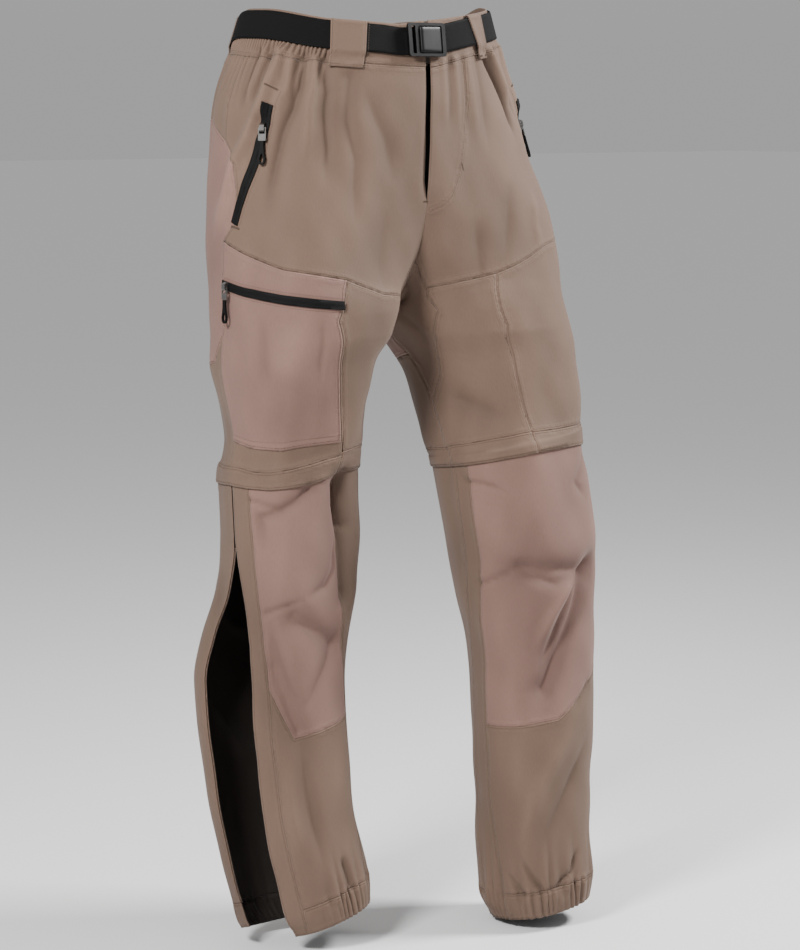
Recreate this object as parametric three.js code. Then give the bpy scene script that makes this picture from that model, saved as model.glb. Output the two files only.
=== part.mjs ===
// Zip-off trousers: every cut piece of cloth is a thin wall on one common body form.
// Millimetres, +Z up, the front faces -Y, the wearer's right is -X, the origin is the waist centre.
import * as THREE from 'three';

const WALL = 1.2;
const TAPE_WALL = 1.0;
const SEAM_GAP = 0.3;
const THIGH_GAP = 0.27;
const BELT_WALL = 2.0;
const INNER_LIFT = -1.7;
const RIGHT = -1;
const LEFT = 1;

// Rows count down the garment: 0 is the waistband seam, 5 the crotch, 7 to 8 the knee band, 14 the hem.
const WAIST_TOP = -1;
const CROTCH = 5;
const HEM = 14;
const CROTCH_Y = -25;
const WAIST_TILT = 0.025;
const PELVIS_SQUARENESS = 2.15;
const LEG_SQUARENESS = 2.25;
const VIEW_ACROSS = { x: 0.79, y: -0.62 };

const TONES = {
  taupe: 0x8c786a,
  rose: 0xa1847a,
  black: 0x1d1c1c,
  tape: 0x161516,
  steel: 0xb9bcbf,
};

function table(columns, rows) {
  const names = columns.split(' ');
  return rows.map((row) => Object.fromEntries(names.map((name, i) => [name, row[i]])));
}

const PELVIS = table('row z wideRight wideLeft deep midY swayRight swayLeft riseRight riseLeft', [
  [-1, -5, 145, 145, 117, 0, 0, 0, 10, 17],
  [0, -49, 162, 160, 122, 0, 0, 0, 10, 17],
  [1, -103, 186, 179, 127, 2, 0, -6, 6, 10],
  [2, -160, 188, 191, 130, 5, 0, -18, 0, 0],
  [3, -220, 196, 208, 130, 7, -4, -32, 0, 0],
  [4, -282, 201, 216, 126, 8, -12, -42, 0, 0],
  [5, -328, 197, 215, 120, 8, -20, -46, 0, 0],
]);

const LEG_COLUMNS = 'row z midX midY wide deep tilt';
const LEGS = {
  [RIGHT]: table(LEG_COLUMNS, [
    [-1, 0, -84, 0, 84, 118, 0],
    [3, -220, -98, -10, 98, 124, 0],
    [5, -328, -100, -18, 100, 111, 0],
    [6, -385, -114, -12, 86, 98, 0.05],
    [6.4, -426, -112, -9, 78, 90, 0.07],
    [6.8, -467, -110, -6, 73, 83, 0.09],
    [7, -488, -110, -4, 75, 80, 0.1],
    [8, -517, -113, -3, 75, 79, 0.1],
    [9, -620, -113, -4, 72, 76, 0.05],
    [10, -720, -119, -8, 64, 68, 0.05],
    [11, -820, -121, -18, 61, 64, 0.1],
    [12, -920, -116, -30, 58, 60, 0.2],
    [13, -1000, -105, -42, 55, 57, 0.35],
    [14, -1030, -98, -46, 51, 52, 0.36],
  ]),
  [LEFT]: table(LEG_COLUMNS, [
    [-1, 0, 84, 0, 84, 118, 0],
    [3, -220, 104, -34, 104, 124, 0],
    [5, -328, 106, -58, 106, 112, 0.05],
    [6, -385, 126, -82, 87, 96, 0.1],
    [7, -478, 132, -94, 84, 86, 0.18],
    [8, -502, 133, -98, 83, 84, 0.18],
    [9, -620, 147, -108, 81, 83, 0.14],
    [10, -720, 154, -114, 71, 72, 0.12],
    [11, -820, 156, -118, 68, 68, 0.12],
    [12, -920, 153, -120, 64, 64, 0.12],
    [13, -1009, 158, -126, 62, 62, 0.16],
    [14, -1041, 162, -127, 56, 56, 0.2],
  ]),
};

// Large folds: a soft trough between two places on a leg, each place a turn and a row.
const FOLDS = table('side turnA rowA turnB rowB depth half', [
  [LEFT, 0.34, 9.2, 0.17, 10.5, 7, 17],
  [LEFT, 0.13, 9.05, 0.33, 9.25, 5, 15],
  [RIGHT, 0.22, 8.15, 0.17, 9.3, 7, 15],
  [RIGHT, 0.2, 9.9, 0.34, 9.5, 4, 15],
  [RIGHT, 0.4, 10.1, 0.33, 10.8, 4, 14],
]);
const TURN_MM = 480;
const ROW_MM = 95;

// The back of the right lower leg swings out at its open side zip.
const FLARE = { x: -34, y: 40, z: 9, startRow: 8.6, fullRow: 10.3, hingeTurn: 0.83, edgeTurn: 0.46 };

const smooth = (from, to, x) => {
  const t = Math.min(1, Math.max(0, (x - from) / (to - from)));
  return t * t * (3 - 2 * t);
};

function along(rows, row, name) {
  const last = rows.length - 1;
  const v = Math.min(rows[last].row, Math.max(rows[0].row, row));
  let i = 0;
  while (i < last - 1 && v > rows[i + 1].row) i += 1;
  const slope = (k) => {
    const a = rows[Math.max(0, k - 1)];
    const b = rows[Math.min(last, k + 1)];
    return (b[name] - a[name]) / (b.row - a.row);
  };
  const h = rows[i + 1].row - rows[i].row;
  const t = (v - rows[i].row) / h;
  const t2 = t * t;
  const t3 = t2 * t;
  return (2 * t3 - 3 * t2 + 1) * rows[i][name] + (t3 - 2 * t2 + t) * slope(i) * h
    + (3 * t2 - 2 * t3) * rows[i + 1][name] + (t3 - t2) * slope(i + 1) * h;
}

function squared(angle, power) {
  const c = Math.cos(angle);
  const s = Math.sin(angle);
  const r = (Math.abs(c) ** power + Math.abs(s) ** power) ** (-1 / power);
  return [c * r, s * r];
}

// The body form: turn runs from the inner front edge (0) by the outer side (0.5) to the inner back edge (1).
function form(side, turn, row) {
  const legs = LEGS[side];
  const upper = row < CROTCH;
  const z = along(upper ? PELVIS : legs, row, 'z');
  const midX = along(legs, row, 'midX');
  const midY = along(legs, row, 'midY');
  const wide = along(legs, row, 'wide');
  const deep = along(legs, row, 'deep');
  const [c, s] = squared(2 * Math.PI * turn, LEG_SQUARENESS);
  const inner = Math.cos(Math.PI * turn) ** 2;
  const innerY = CROTCH_Y + (midY - CROTCH_Y) * smooth(CROTCH, CROTCH + 2.5, row);
  let x = (upper ? side * wide : midX) - side * wide * c;
  let y = midY - deep * s + (innerY - midY) * inner;
  let rise = 0;
  if (upper) {
    const down = Math.max(0, row / CROTCH);
    const pinch = 1 - Math.sqrt(Math.max(0, 1 - down ** 3));
    const split = pinch * inner + smooth(0, 1, down) * (1 - inner);
    const [pc, ps] = squared(Math.PI * turn, PELVIS_SQUARENESS);
    const right = side === RIGHT;
    const pelvisX = side * along(PELVIS, row, right ? 'wideRight' : 'wideLeft') * ps;
    const pelvisY = along(PELVIS, row, 'midY') - along(PELVIS, row, 'deep') * pc
      + along(PELVIS, row, right ? 'swayRight' : 'swayLeft') * ps;
    rise = along(PELVIS, row, right ? 'riseRight' : 'riseLeft') * ps;
    x = (1 - split) * pelvisX + split * x;
    y = (1 - split) * pelvisY + split * y;
  }
  const tilt = along(legs, row, 'tilt') * smooth(CROTCH, CROTCH + 1, row);
  const lift = WAIST_TILT * (1 - smooth(0, CROTCH, row)) * y
    + tilt * (VIEW_ACROSS.x * (x - midX) + VIEW_ACROSS.y * (y - midY));
  return new THREE.Vector3(x, y, z + lift + rise);
}

function foldDepth(side, turn, row) {
  let total = 0;
  for (const fold of FOLDS) {
    if (fold.side !== side) continue;
    const ax = (turn - Math.round(turn - fold.turnA) - fold.turnA) * TURN_MM;
    const ay = (row - fold.rowA) * ROW_MM;
    const bx = (fold.turnB - fold.turnA) * TURN_MM;
    const by = (fold.rowB - fold.rowA) * ROW_MM;
    const t = Math.min(1, Math.max(0, (ax * bx + ay * by) / (bx * bx + by * by)));
    const away = Math.hypot(ax - t * bx, ay - t * by) / fold.half;
    total += fold.depth * Math.exp(-away * away);
  }
  return total;
}

function flared(point, turn, row) {
  const { x, y, z, startRow, fullRow, hingeTurn, edgeTurn } = FLARE;
  const share = smooth(startRow, fullRow, row) * (1 - smooth(edgeTurn, hingeTurn, turn));
  const raised = z * share * smooth(fullRow, HEM, row);
  return point.add(new THREE.Vector3(x * share, y * share, raised));
}

// Facets that all pieces share, so that what lies on a panel follows that panel exactly.
const ACROSS = 26;
const ROWS = [-1, -0.5, 0, 0.7, 1.4, 2.1, 2.8, 3.5, 4.1, 4.6, 5, 5.5, 6, 6.5, 7, 7.4, 7.75, 8.1,
  8.6, 9.1, 9.6, 10.1, 10.6, 11.1, 11.7, 12.35, 13, 13.5, 14];
const corners = new Map();

function corner(side, column, line, open) {
  const key = `${side} ${column} ${line} ${open}`;
  if (corners.has(key)) return corners.get(key);
  const turn = column / ACROSS;
  const row = ROWS[line];
  const step = { turn: 0.006, row: 0.05 };
  const at = (t, r) => {
    const inRange = Math.min(HEM, Math.max(WAIST_TOP, r));
    const point = form(side, t, inRange);
    return open ? flared(point, t, inRange) : point;
  };
  const across = at(turn + step.turn, row).sub(at(turn - step.turn, row));
  const down = at(turn, row + step.row).sub(at(turn, row - step.row));
  const normal = down.cross(across).multiplyScalar(side).normalize();
  const point = at(turn, row);
  const centreLine = column % ACROSS === 0 && row <= CROTCH;
  if (centreLine) {
    point.x = 0;
    normal.x = 0;
    if (row === CROTCH) normal.set(0, 0, -1);
    normal.normalize();
  }
  point.addScaledVector(normal, -foldDepth(side, turn, row));
  const value = { point, normal };
  corners.set(key, value);
  return value;
}

function ground(side, turn, row, open = false) {
  let line = 0;
  while (line < ROWS.length - 2 && row > ROWS[line + 1]) line += 1;
  const column = Math.floor(turn * ACROSS + 1e-9);
  const a = turn * ACROSS - column;
  const b = (row - ROWS[line]) / (ROWS[line + 1] - ROWS[line]);
  const point = new THREE.Vector3();
  const normal = new THREE.Vector3();
  for (const [i, acrossShare] of [1 - a, a].entries()) {
    for (const [j, downShare] of [1 - b, b].entries()) {
      const c = corner(side, column + i, line + j, open);
      point.addScaledVector(c.point, acrossShare * downShare);
      normal.addScaledVector(c.normal, acrossShare * downShare);
    }
  }
  return { point, normal: normal.normalize() };
}

// Outlines are drawn in turns and rows, and drawn in by half the seam gap before they are cut to the facets.
function drawnIn(side, outline, gap) {
  const n = outline.length;
  let area = 0;
  outline.forEach(([u, v], i) => {
    const [u2, v2] = outline[(i + 1) % n];
    area += u * v2 - u2 * v;
  });
  const facing = Math.sign(area);
  return outline.map(([u, v], i) => {
    const e = 0.02;
    const v1 = Math.min(HEM - e, Math.max(WAIST_TOP + e, v));
    const perTurn = form(side, u + e, v1).distanceTo(form(side, u - e, v1)) / (2 * e);
    const perRow = form(side, u, v1 + e).distanceTo(form(side, u, v1 - e)) / (2 * e);
    const edge = ([ua, va], [ub, vb]) => {
      const d = new THREE.Vector2((ub - ua) * perTurn, (vb - va) * perRow).normalize();
      return new THREE.Vector2(-d.y, d.x).multiplyScalar(facing);
    };
    const n1 = edge(outline[(i + n - 1) % n], outline[i]);
    const n2 = edge(outline[i], outline[(i + 1) % n]);
    const move = n1.clone().add(n2).multiplyScalar(gap / Math.max(0.35, 1 + n1.dot(n2)));
    return [u + move.x / perTurn, v + move.y / perRow];
  });
}

function cutHalf(outline, axis, limit, keepAbove) {
  const inside = (p) => (keepAbove ? p[axis] >= limit : p[axis] <= limit);
  const kept = [];
  outline.forEach((p, i) => {
    const q = outline[(i + 1) % outline.length];
    if (inside(p)) kept.push(p);
    if (inside(p) !== inside(q)) {
      const t = (limit - p[axis]) / (q[axis] - p[axis]);
      const cut = [p[0] + t * (q[0] - p[0]), p[1] + t * (q[1] - p[1])];
      cut[axis] = limit;
      kept.push(cut);
    }
  });
  return kept;
}

function withoutRepeats(outline) {
  return outline.filter(([u, v], i) => {
    const [u2, v2] = outline[(i + 1) % outline.length];
    return Math.hypot((u - u2) * TURN_MM, (v - v2) * ROW_MM) > 1e-3;
  });
}

const flat = () => 0;

// One closed wall from patches, each a side of the body and an outline on it.
function cloth(name, tone, patches, options = {}) {
  const {
    across = ACROSS, rows = ROWS, shift = flat, wall = WALL, gap = SEAM_GAP / 2, open = false,
  } = options;
  const index = new Map();
  const mid = [];
  const triangles = [];
  const vertex = (side, u, v) => {
    const { point, normal } = ground(side, u, v, open);
    const key = point.toArray().map((c) => Math.round(c * 100)).join(' ');
    if (!index.has(key)) {
      index.set(key, mid.length);
      mid.push({ point: point.addScaledVector(normal, shift(side, u, v)), normal });
    }
    return index.get(key);
  };
  for (const { side, outline } of patches) {
    const shape = gap > 0 ? drawnIn(side, outline, gap) : outline;
    const turns = shape.map((p) => p[0]);
    const first = Math.floor(Math.min(...turns) * across + 1e-9);
    const last = Math.ceil(Math.max(...turns) * across - 1e-9);
    for (let line = 0; line < rows.length - 1; line += 1) {
      const strip = cutHalf(cutHalf(shape, 1, rows[line], true), 1, rows[line + 1], false);
      if (strip.length < 3) continue;
      for (let column = first; column < last; column += 1) {
        const left = cutHalf(strip, 0, column / across, true);
        const cell = withoutRepeats(cutHalf(left, 0, (column + 1) / across, false));
        if (cell.length < 3) continue;
        const contour = cell.map(([u, v]) => new THREE.Vector2(u * TURN_MM, v * ROW_MM));
        if (Math.abs(THREE.ShapeUtils.area(contour)) < 1e-3) continue;
        const faces = THREE.ShapeUtils.triangulateShape(contour, []);
        const faceArea = (face) => THREE.ShapeUtils.area(face.map((k) => contour[k]));
        const area = faces.reduce((sum, face) => sum + faceArea(face), 0);
        for (const face of faces) {
          const [a, b, c] = face.map((k) => vertex(side, ...cell[k]));
          if (a === b || b === c || c === a) continue;
          triangles.push(area * side < 0 ? [a, b, c] : [a, c, b]);
        }
      }
    }
  }
  return wallMesh(name, tone, mid, triangles, wall);
}

function wallMesh(name, tone, mid, triangles, wall) {
  const count = mid.length;
  const positions = [];
  for (const half of [wall / 2, -wall / 2]) {
    for (const { point, normal } of mid) positions.push(...point.clone().addScaledVector(normal, half));
  }
  const edges = new Map();
  for (const [a, b, c] of triangles) {
    for (const [p, q] of [[a, b], [b, c], [c, a]]) edges.set(`${p} ${q}`, [p, q]);
  }
  const faces = [];
  for (const [a, b, c] of triangles) faces.push(a, b, c, c + count, b + count, a + count);
  for (const [key, [p, q]] of edges) {
    if (edges.has(`${q} ${p}`)) continue;
    faces.push(q, p, p + count, q, p + count, q + count);
  }
  const geometry = new THREE.BufferGeometry();
  geometry.setAttribute('position', new THREE.Float32BufferAttribute(positions, 3));
  geometry.setIndex(faces);
  return solid(name, tone, geometry);
}

const group = new THREE.Group();

function solid(name, tone, geometry) {
  const metal = tone === 'steel';
  const hard = metal || tone === 'black';
  const material = new THREE.MeshStandardMaterial({
    color: TONES[tone],
    roughness: hard ? 0.4 : 0.9,
    metalness: metal ? 1 : 0,
  });
  const mesh = new THREE.Mesh(geometry, material);
  mesh.name = name;
  group.add(mesh);
  return mesh;
}

// Seams as short lists of [turn, row], shared by the pieces on both sides of them.
const GUSSET_FRONT = [[0, 3.9], [0.025, 4.3], [0.05, 4.55], [0.065, 4.72], [0.092, 5.05], [0.08, 5.6],
  [0.045, 6.18], [0, 6.45]];
const GUSSET_BACK = [[1, 4.4], [0.98, 4.8], [0.972, 5.1], [0.978, 5.6], [0.986, 5.9], [1, 6.45]];
const YOKES = {
  [RIGHT]: [[0.065, 4.72], [0.17, 4.58], [0.255, 4.19], [0.385, 3.95], [0.512, 3.48]],
  [LEFT]: [[0.05, 4.55], [0.175, 4.18], [0.305, 3.64], [0.4, 3.52], [0.512, 3.48]],
};
const THIGH_SEAMS = {
  [RIGHT]: [[0.255, 4.19], [0.243, 5.6], [0.225, 7]],
  [LEFT]: [[0.175, 4.18], [0.198, 5.9], [0.2, 7]],
};
const SIDE_UPPER = [[0.5, 0], [0.51, 1.3], [0.517, 1.68]];
const SIDE_HIP = [[0.517, 1.68], [0.465, 2.1]];
const SIDE_POCKET = [[0.465, 2.1], [0.48, 3.2], [0.512, 3.48]];
const SIDE_SEAT = [[0.512, 3.48], [0.52, 4.6], [0.522, 5.5]];
const SIDE_THIGH = [[0.522, 5.5], [0.52, 6.3], [0.51, 7]];
const SEAT_TOP = [[0.517, 1.68], [0.595, 1.35], [0.8, 1.25], [1, 1.2]];
const SEAT_FOOT = [[0.522, 5.5], [0.552, 5.98], [0.7, 6.15], [0.85, 6.05], [0.986, 5.9]];
const KNEE_TOP = 7.78;
const BAND_FOOT = 8.05;
const CASING_TOP = 13;
const STRIP_FRONT = [[0.448, KNEE_TOP], [0.443, 8.55], [0.43, 9.43], [0.417, 10.12], [0.413, 10.33],
  [0.405, 11.08], [0.398, 11.98], [0.394, 13], [0.4, 14]];
const ZIP_EDGE = [[0.503, KNEE_TOP], [0.503, 8.68], [0.492, 9.05], [0.48, 9.45], [0.468, 9.85],
  [0.467, 10.53], [0.463, 11.5], [0.463, 12.33], [0.46, 13], [0.455, 14]];
const ZIP_GAP_TURN = 0.005;
const INNER_FRONT = {
  [RIGHT]: [[0.212, KNEE_TOP], [0.212, 8.1], [0.185, 9.4], [0.133, 10.75], [0.13, 13], [0.14, 14]],
  [LEFT]: [[0.048, KNEE_TOP], [0.048, 8.28], [0.04, 8.93], [0.013, 9.65], [-0.003, 10.9], [0.005, 11.78],
    [0.033, 13], [0.045, 14]],
};
const INNER_BACK = {
  [RIGHT]: [[0.1, KNEE_TOP], [0.1, 8.1], [0.09, 9.4], [0.04, 10.75], [0.035, 13], [0.04, 14]],
  [LEFT]: [[0.004, KNEE_TOP], [0.004, 8.28], [-0.012, 8.93], [-0.057, 9.93], [-0.075, 10.65],
    [-0.08, 11.85], [-0.06, 13], [-0.05, 14]],
};
const KNEE_FOOT = {
  [RIGHT]: [[0.133, 10.75], [0.343, 10.9], [0.413, 10.33]],
  [LEFT]: [[-0.003, 10.9], [0.103, 10.9], [0.208, 10.88], [0.348, 10.5], [0.413, 10.33]],
};
const WAIST_JOIN = { [RIGHT]: 0.245, [LEFT]: 0.3 };

const back = (seam) => [...seam].reverse();
const shifted = (seam, turn) => seam.map(([u, v]) => [u + turn, v]);

function between(seam, from, to) {
  const at = (row) => {
    const i = seam.findIndex(([, v], k) => k > 0 && row <= v + 1e-9);
    const [[ua, va], [ub, vb]] = [seam[i - 1], seam[i]];
    return [ua + (ub - ua) * (row - va) / (vb - va), row];
  };
  return [at(from), ...seam.filter(([, v]) => v > from + 1e-6 && v < to - 1e-6), at(to)];
}

function outlineOf(...seams) {
  const points = seams.flat();
  return points.filter(([u, v], i) => {
    const [u2, v2] = points[(i + 1) % points.length];
    return Math.abs(u - u2) > 1e-6 || Math.abs(v - v2) > 1e-6;
  });
}

const sideName = (side) => (side === RIGHT ? 'r' : 'l');

// Waistband: two flat fronts and one gathered elastic stretch round the sides and back.
const GATHER_DEPTH = 1.1;
const WAIST_GATHERS = 30;
const gathers = (count) => (side, u) => GATHER_DEPTH * Math.sin(2 * Math.PI * count * u);

function buildWaistband() {
  const BAND_ROWS = [-1, -0.5, 0];
  for (const side of [RIGHT, LEFT]) {
    const join = WAIST_JOIN[side];
    const outline = [[0, -1], [join, -1], [join, 0], [0, 0]];
    cloth(`waistband_front_${sideName(side)}`, 'taupe', [{ side, outline }]);
  }
  const patches = [RIGHT, LEFT].map((side) => {
    const join = WAIST_JOIN[side] + 0.001;
    return { side, outline: [[join, -1], [1, -1], [1, -0.004], [join, -0.004]] };
  });
  cloth('waistband_back', 'taupe', patches, {
    across: WAIST_GATHERS * 4, rows: BAND_ROWS, shift: gathers(WAIST_GATHERS), gap: 0,
  });
}

// Upper pieces of one side, from the waistband seam to the knee band.
function buildUpper(side) {
  const id = sideName(side);
  const yoke = YOKES[side];
  const thigh = THIGH_SEAMS[side];
  const split = yoke.findIndex(([u]) => u === thigh[0][0]);
  const yokeInner = yoke.slice(0, split + 1);
  const yokeOuter = yoke.slice(split);
  const meet = GUSSET_FRONT.findIndex(([u]) => u === yoke[0][0]);
  const riseEdge = GUSSET_FRONT.slice(0, meet + 1);
  const legEdge = GUSSET_FRONT.slice(meet);
  const sideEdge = [...SIDE_UPPER, ...SIDE_HIP, ...SIDE_POCKET];
  const piece = (name, tone, seams, options) => cloth(`${name}_${id}`, tone,
    [{ side, outline: outlineOf(...seams) }], options);
  const FLY_EDGE = [[0.004, 2.7], [0.004, 0]];
  piece('front_hip', 'taupe', [[[0.004, 0]], sideEdge, back(yoke), back(riseEdge), [[0, 2.9]], FLY_EDGE]);
  const wider = { gap: THIGH_GAP };
  piece('thigh_front', 'taupe', [yokeInner, thigh, [[0, 7]], back(legEdge)], wider);
  piece('thigh_side', 'taupe', [yokeOuter, SIDE_SEAT, SIDE_THIGH, back(thigh)], wider);
  piece('yoke_back', 'taupe', [[[0.5, 0], [1, 0]], back(SEAT_TOP), back(SIDE_UPPER)]);
  const seatRise = GUSSET_BACK.slice(0, 5);
  const seatSide = [...back(SIDE_SEAT), ...back(SIDE_POCKET), ...back(SIDE_HIP)];
  piece('seat', 'rose', [SEAT_TOP, seatRise, back(SEAT_FOOT), seatSide]);
  piece('thigh_back', 'taupe', [SEAT_FOOT, GUSSET_BACK.slice(4), [[1, 7], [0.51, 7]], back(SIDE_THIGH)]);
  buildKneeBand(side, thigh[2][0]);
}

// The knee band is a flap, sewn along its top and standing off the zip that it hides.
const FLAP_LIFT = 2.1;
const flapLift = (side, u, v) => FLAP_LIFT * smooth(7, 7.7, v);

function buildKneeBand(side, join) {
  const id = sideName(side);
  const stretches = { front: [0, join], side: [join, 1] };
  for (const [name, [from, to]] of Object.entries(stretches)) {
    const outline = [[from, 7], [to, 7], [to, BAND_FOOT], [from, BAND_FOOT]];
    cloth(`knee_band_${name}_${id}`, 'taupe', [{ side, outline }], { shift: flapLift });
  }
  const ring = [[0, 7.12], [1, 7.12], [1, 7.72], [0, 7.72]];
  const tape = { shift: () => INNER_LIFT, wall: TAPE_WALL, gap: 0 };
  cloth(`knee_zip_${id}`, 'tape', [{ side, outline: ring }], tape);
}

function buildGusset() {
  const patches = [RIGHT, LEFT].flatMap((side) => [
    { side, outline: outlineOf(GUSSET_FRONT, [[0, 6.45], [0, 5]]) },
    { side, outline: outlineOf(GUSSET_BACK, [[1, 6.45], [1, 5]]) },
  ]);
  for (const patch of patches) patch.outline = gussetIn(patch.outline);
  cloth('gusset', 'taupe', patches, { gap: 0 });
}

// The gusset keeps its middle lines and is drawn in along its seams only.
function gussetIn(outline) {
  const REACH = { turn: 0.002, row: 0.006 };
  const front = outline[1][0] < 0.5;
  return outline.map(([u, v]) => {
    const middle = u === 0 || u === 1;
    if (middle && v === 5) return [u, v];
    if (middle) return [u, v + (v < 5 ? 4 : -4) * REACH.row];
    return [u + (front ? -REACH.turn : REACH.turn), v];
  });
}

// Lower leg pieces, from under the knee band to the hem.
function buildLower(side) {
  const id = sideName(side);
  const open = side === RIGHT;
  const front = INNER_FRONT[side];
  const rear = INNER_BACK[side];
  const knee = KNEE_FOOT[side];
  const kneeRow = knee[0][1];
  const piece = (name, tone, seams, options) => cloth(`${name}_${id}`, tone,
    [{ side, outline: outlineOf(...seams) }], options);
  const stripTop = between(STRIP_FRONT, KNEE_TOP, 10.33);
  piece('knee_panel', 'rose', [stripTop, back(knee), back(between(front, KNEE_TOP, kneeRow))]);
  const shinSide = between(STRIP_FRONT, 10.33, CASING_TOP);
  piece('shin', 'taupe', [knee, shinSide, back(between(front, kneeRow, CASING_TOP))]);
  piece('outer_strip', 'taupe', [ZIP_EDGE, back(STRIP_FRONT)]);
  piece('inner_strip', 'taupe', [front, back(rear)]);
  const zipSide = shifted(ZIP_EDGE, ZIP_GAP_TURN);
  const inseam = shifted(rear, 1);
  const calf = [between(inseam, KNEE_TOP, CASING_TOP), back(between(zipSide, KNEE_TOP, CASING_TOP))];
  piece('calf', 'taupe', calf, { open });
  const casing = { across: ACROSS * 3, rows: [13, 13.5, 14], shift: gathers(ACROSS) };
  const casingFront = [between(STRIP_FRONT, CASING_TOP, HEM), back(between(front, CASING_TOP, HEM))];
  piece('hem_front', 'taupe', casingFront, casing);
  const casingBack = [between(inseam, CASING_TOP, HEM), back(between(zipSide, CASING_TOP, HEM))];
  piece('hem_back', 'taupe', casingBack, { ...casing, open });
}

// Side zips lie inside the strip and the calf; the right one is open, so its two halves part.
const ZIP_SEWN = 0.016;
const ZIP_BARE = 0.0015;

function buildSideZips() {
  const tape = { shift: () => INNER_LIFT, wall: TAPE_WALL, gap: 0 };
  const edge = between(ZIP_EDGE, 8.75, CASING_TOP);
  const sewn = shifted(edge, -ZIP_SEWN);
  const half = [...shifted(edge, ZIP_BARE), ...back(sewn)];
  cloth('side_zip_front_r', 'tape', [{ side: RIGHT, outline: half }], tape);
  const bare = shifted(edge, ZIP_GAP_TURN - ZIP_BARE);
  const calf = shifted(edge, ZIP_GAP_TURN + ZIP_SEWN);
  const rearHalf = [...calf, ...back(bare)];
  cloth('side_zip_back_r', 'tape', [{ side: RIGHT, outline: rearHalf }], { ...tape, open: true });
  const closed = between(ZIP_EDGE, 8.2, CASING_TOP);
  const outline = [...shifted(closed, ZIP_GAP_TURN + ZIP_SEWN), ...back(shifted(closed, -ZIP_SEWN))];
  cloth('side_zip_l', 'tape', [{ side: LEFT, outline }], tape);
}

function buildFlyGuard() {
  const GUARD = { [RIGHT]: 0.03, [LEFT]: 0.08 };
  const GUARD_LIFT = INNER_LIFT - SEAM_GAP;
  const patches = [RIGHT, LEFT].map((side) => (
    { side, outline: [[0, 0.06], [GUARD[side], 0.06], [GUARD[side], 2.3], [0, 2.75]] }));
  cloth('fly_guard', 'taupe', patches, { shift: () => GUARD_LIFT, gap: 0 });
}

// The cargo pocket covers the side of the right thigh and bags out a little above its foot.
const POCKET_LIFT = 1.6;
const POCKET_BAG = 3.5;
const CARGO_ZIP_LIFT = POCKET_LIFT + 1.9;
const pocketLift = (side, u, v) => POCKET_LIFT
  + POCKET_BAG * smooth(5, 6.1, v) * (1 - smooth(6.3, 6.85, v)) * Math.sin(Math.PI * smooth(0.25, 0.52, u));

function buildCargoPocket() {
  const yoke = YOKES[RIGHT].slice(2);
  const foot = [[0.515, 6.78], [0.38, 6.86], [0.24, 6.92]];
  const outline = outlineOf(yoke, SIDE_SEAT, foot, [[0.247, 5.6]]);
  cloth('cargo_pocket_r', 'rose', [{ side: RIGHT, outline }], { shift: pocketLift, gap: 0.6 });
  const line = [[0.514, 4.33], [0.455, 4.49], [0.393, 4.62], [0.335, 4.71], [0.28, 4.78]];
  const HALF_ROW = 0.1;
  const upper = line.map(([u, v]) => [u, v - HALF_ROW]);
  const lower = line.map(([u, v]) => [u, v + HALF_ROW]);
  const tape = { shift: () => CARGO_ZIP_LIFT, wall: TAPE_WALL, gap: 0 };
  cloth('cargo_zip_r', 'tape', [{ side: RIGHT, outline: [...upper, ...back(lower)] }], tape);
}

const HAND_ZIP = [[0.37, 1.03], [0.383, 1.35], [0.4, 1.67], [0.427, 2.14], [0.448, 2.5], [0.465, 2.86],
  [0.477, 3.18]];
const HAND_ZIP_HALF = 0.0135;
const HAND_ZIP_LIFT = 1.5;

function buildHandZips() {
  for (const side of [RIGHT, LEFT]) {
    const rear = shifted(HAND_ZIP, HAND_ZIP_HALF * 0.999);
    const outline = [...rear, ...back(shifted(HAND_ZIP, -HAND_ZIP_HALF))];
    const tape = { shift: () => HAND_ZIP_LIFT, wall: TAPE_WALL, gap: 0 };
    cloth(`hand_zip_${sideName(side)}`, 'tape', [{ side, outline }], tape);
  }
}

// Sliders stand on their tapes; each pull hangs from its slider's bridge.
const SLIDER = { wide: 6, long: 10, base: 2.2, bridge: 2.9, hole: 1.9, holeLong: 4 };
const PULL = { wide: 9.5, bar: 1.2, window: 7, thick: 1, long: 15 };
const LOOP = { wide: 9, long: 26, thick: 2.2, cord: 2.2 };

function ringShape(width, height, radius, holes = []) {
  const shape = roundedRect(0, -height / 2, width, height, radius);
  for (const [x, y, w, h, r] of holes) shape.holes.push(roundedRect(x, y, w, h, r));
  return shape;
}

function roundedRect(x, y, width, height, radius) {
  const [a, b] = [width / 2, height / 2];
  const shape = new THREE.Shape();
  shape.moveTo(x - a + radius, y - b);
  shape.lineTo(x + a - radius, y - b);
  shape.quadraticCurveTo(x + a, y - b, x + a, y - b + radius);
  shape.lineTo(x + a, y + b - radius);
  shape.quadraticCurveTo(x + a, y + b, x + a - radius, y + b);
  shape.lineTo(x - a + radius, y + b);
  shape.quadraticCurveTo(x - a, y + b, x - a, y + b - radius);
  shape.lineTo(x - a, y - b + radius);
  shape.quadraticCurveTo(x - a, y - b, x - a + radius, y - b);
  return shape;
}

function extruded(shape, depth, curveSegments = 3) {
  return new THREE.ExtrudeGeometry(shape, { depth, bevelEnabled: false, curveSegments });
}

// A frame on the cloth: z leaves the cloth, y points up along it, x runs across.
function seat(side, turn, row, lift) {
  const { point, normal } = ground(side, turn, row);
  const up = new THREE.Vector3(0, 0, 1).addScaledVector(normal, -normal.z).normalize();
  const across = up.clone().cross(normal);
  const origin = point.addScaledVector(normal, lift);
  return new THREE.Matrix4().makeBasis(across, up, normal).setPosition(origin);
}

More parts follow.
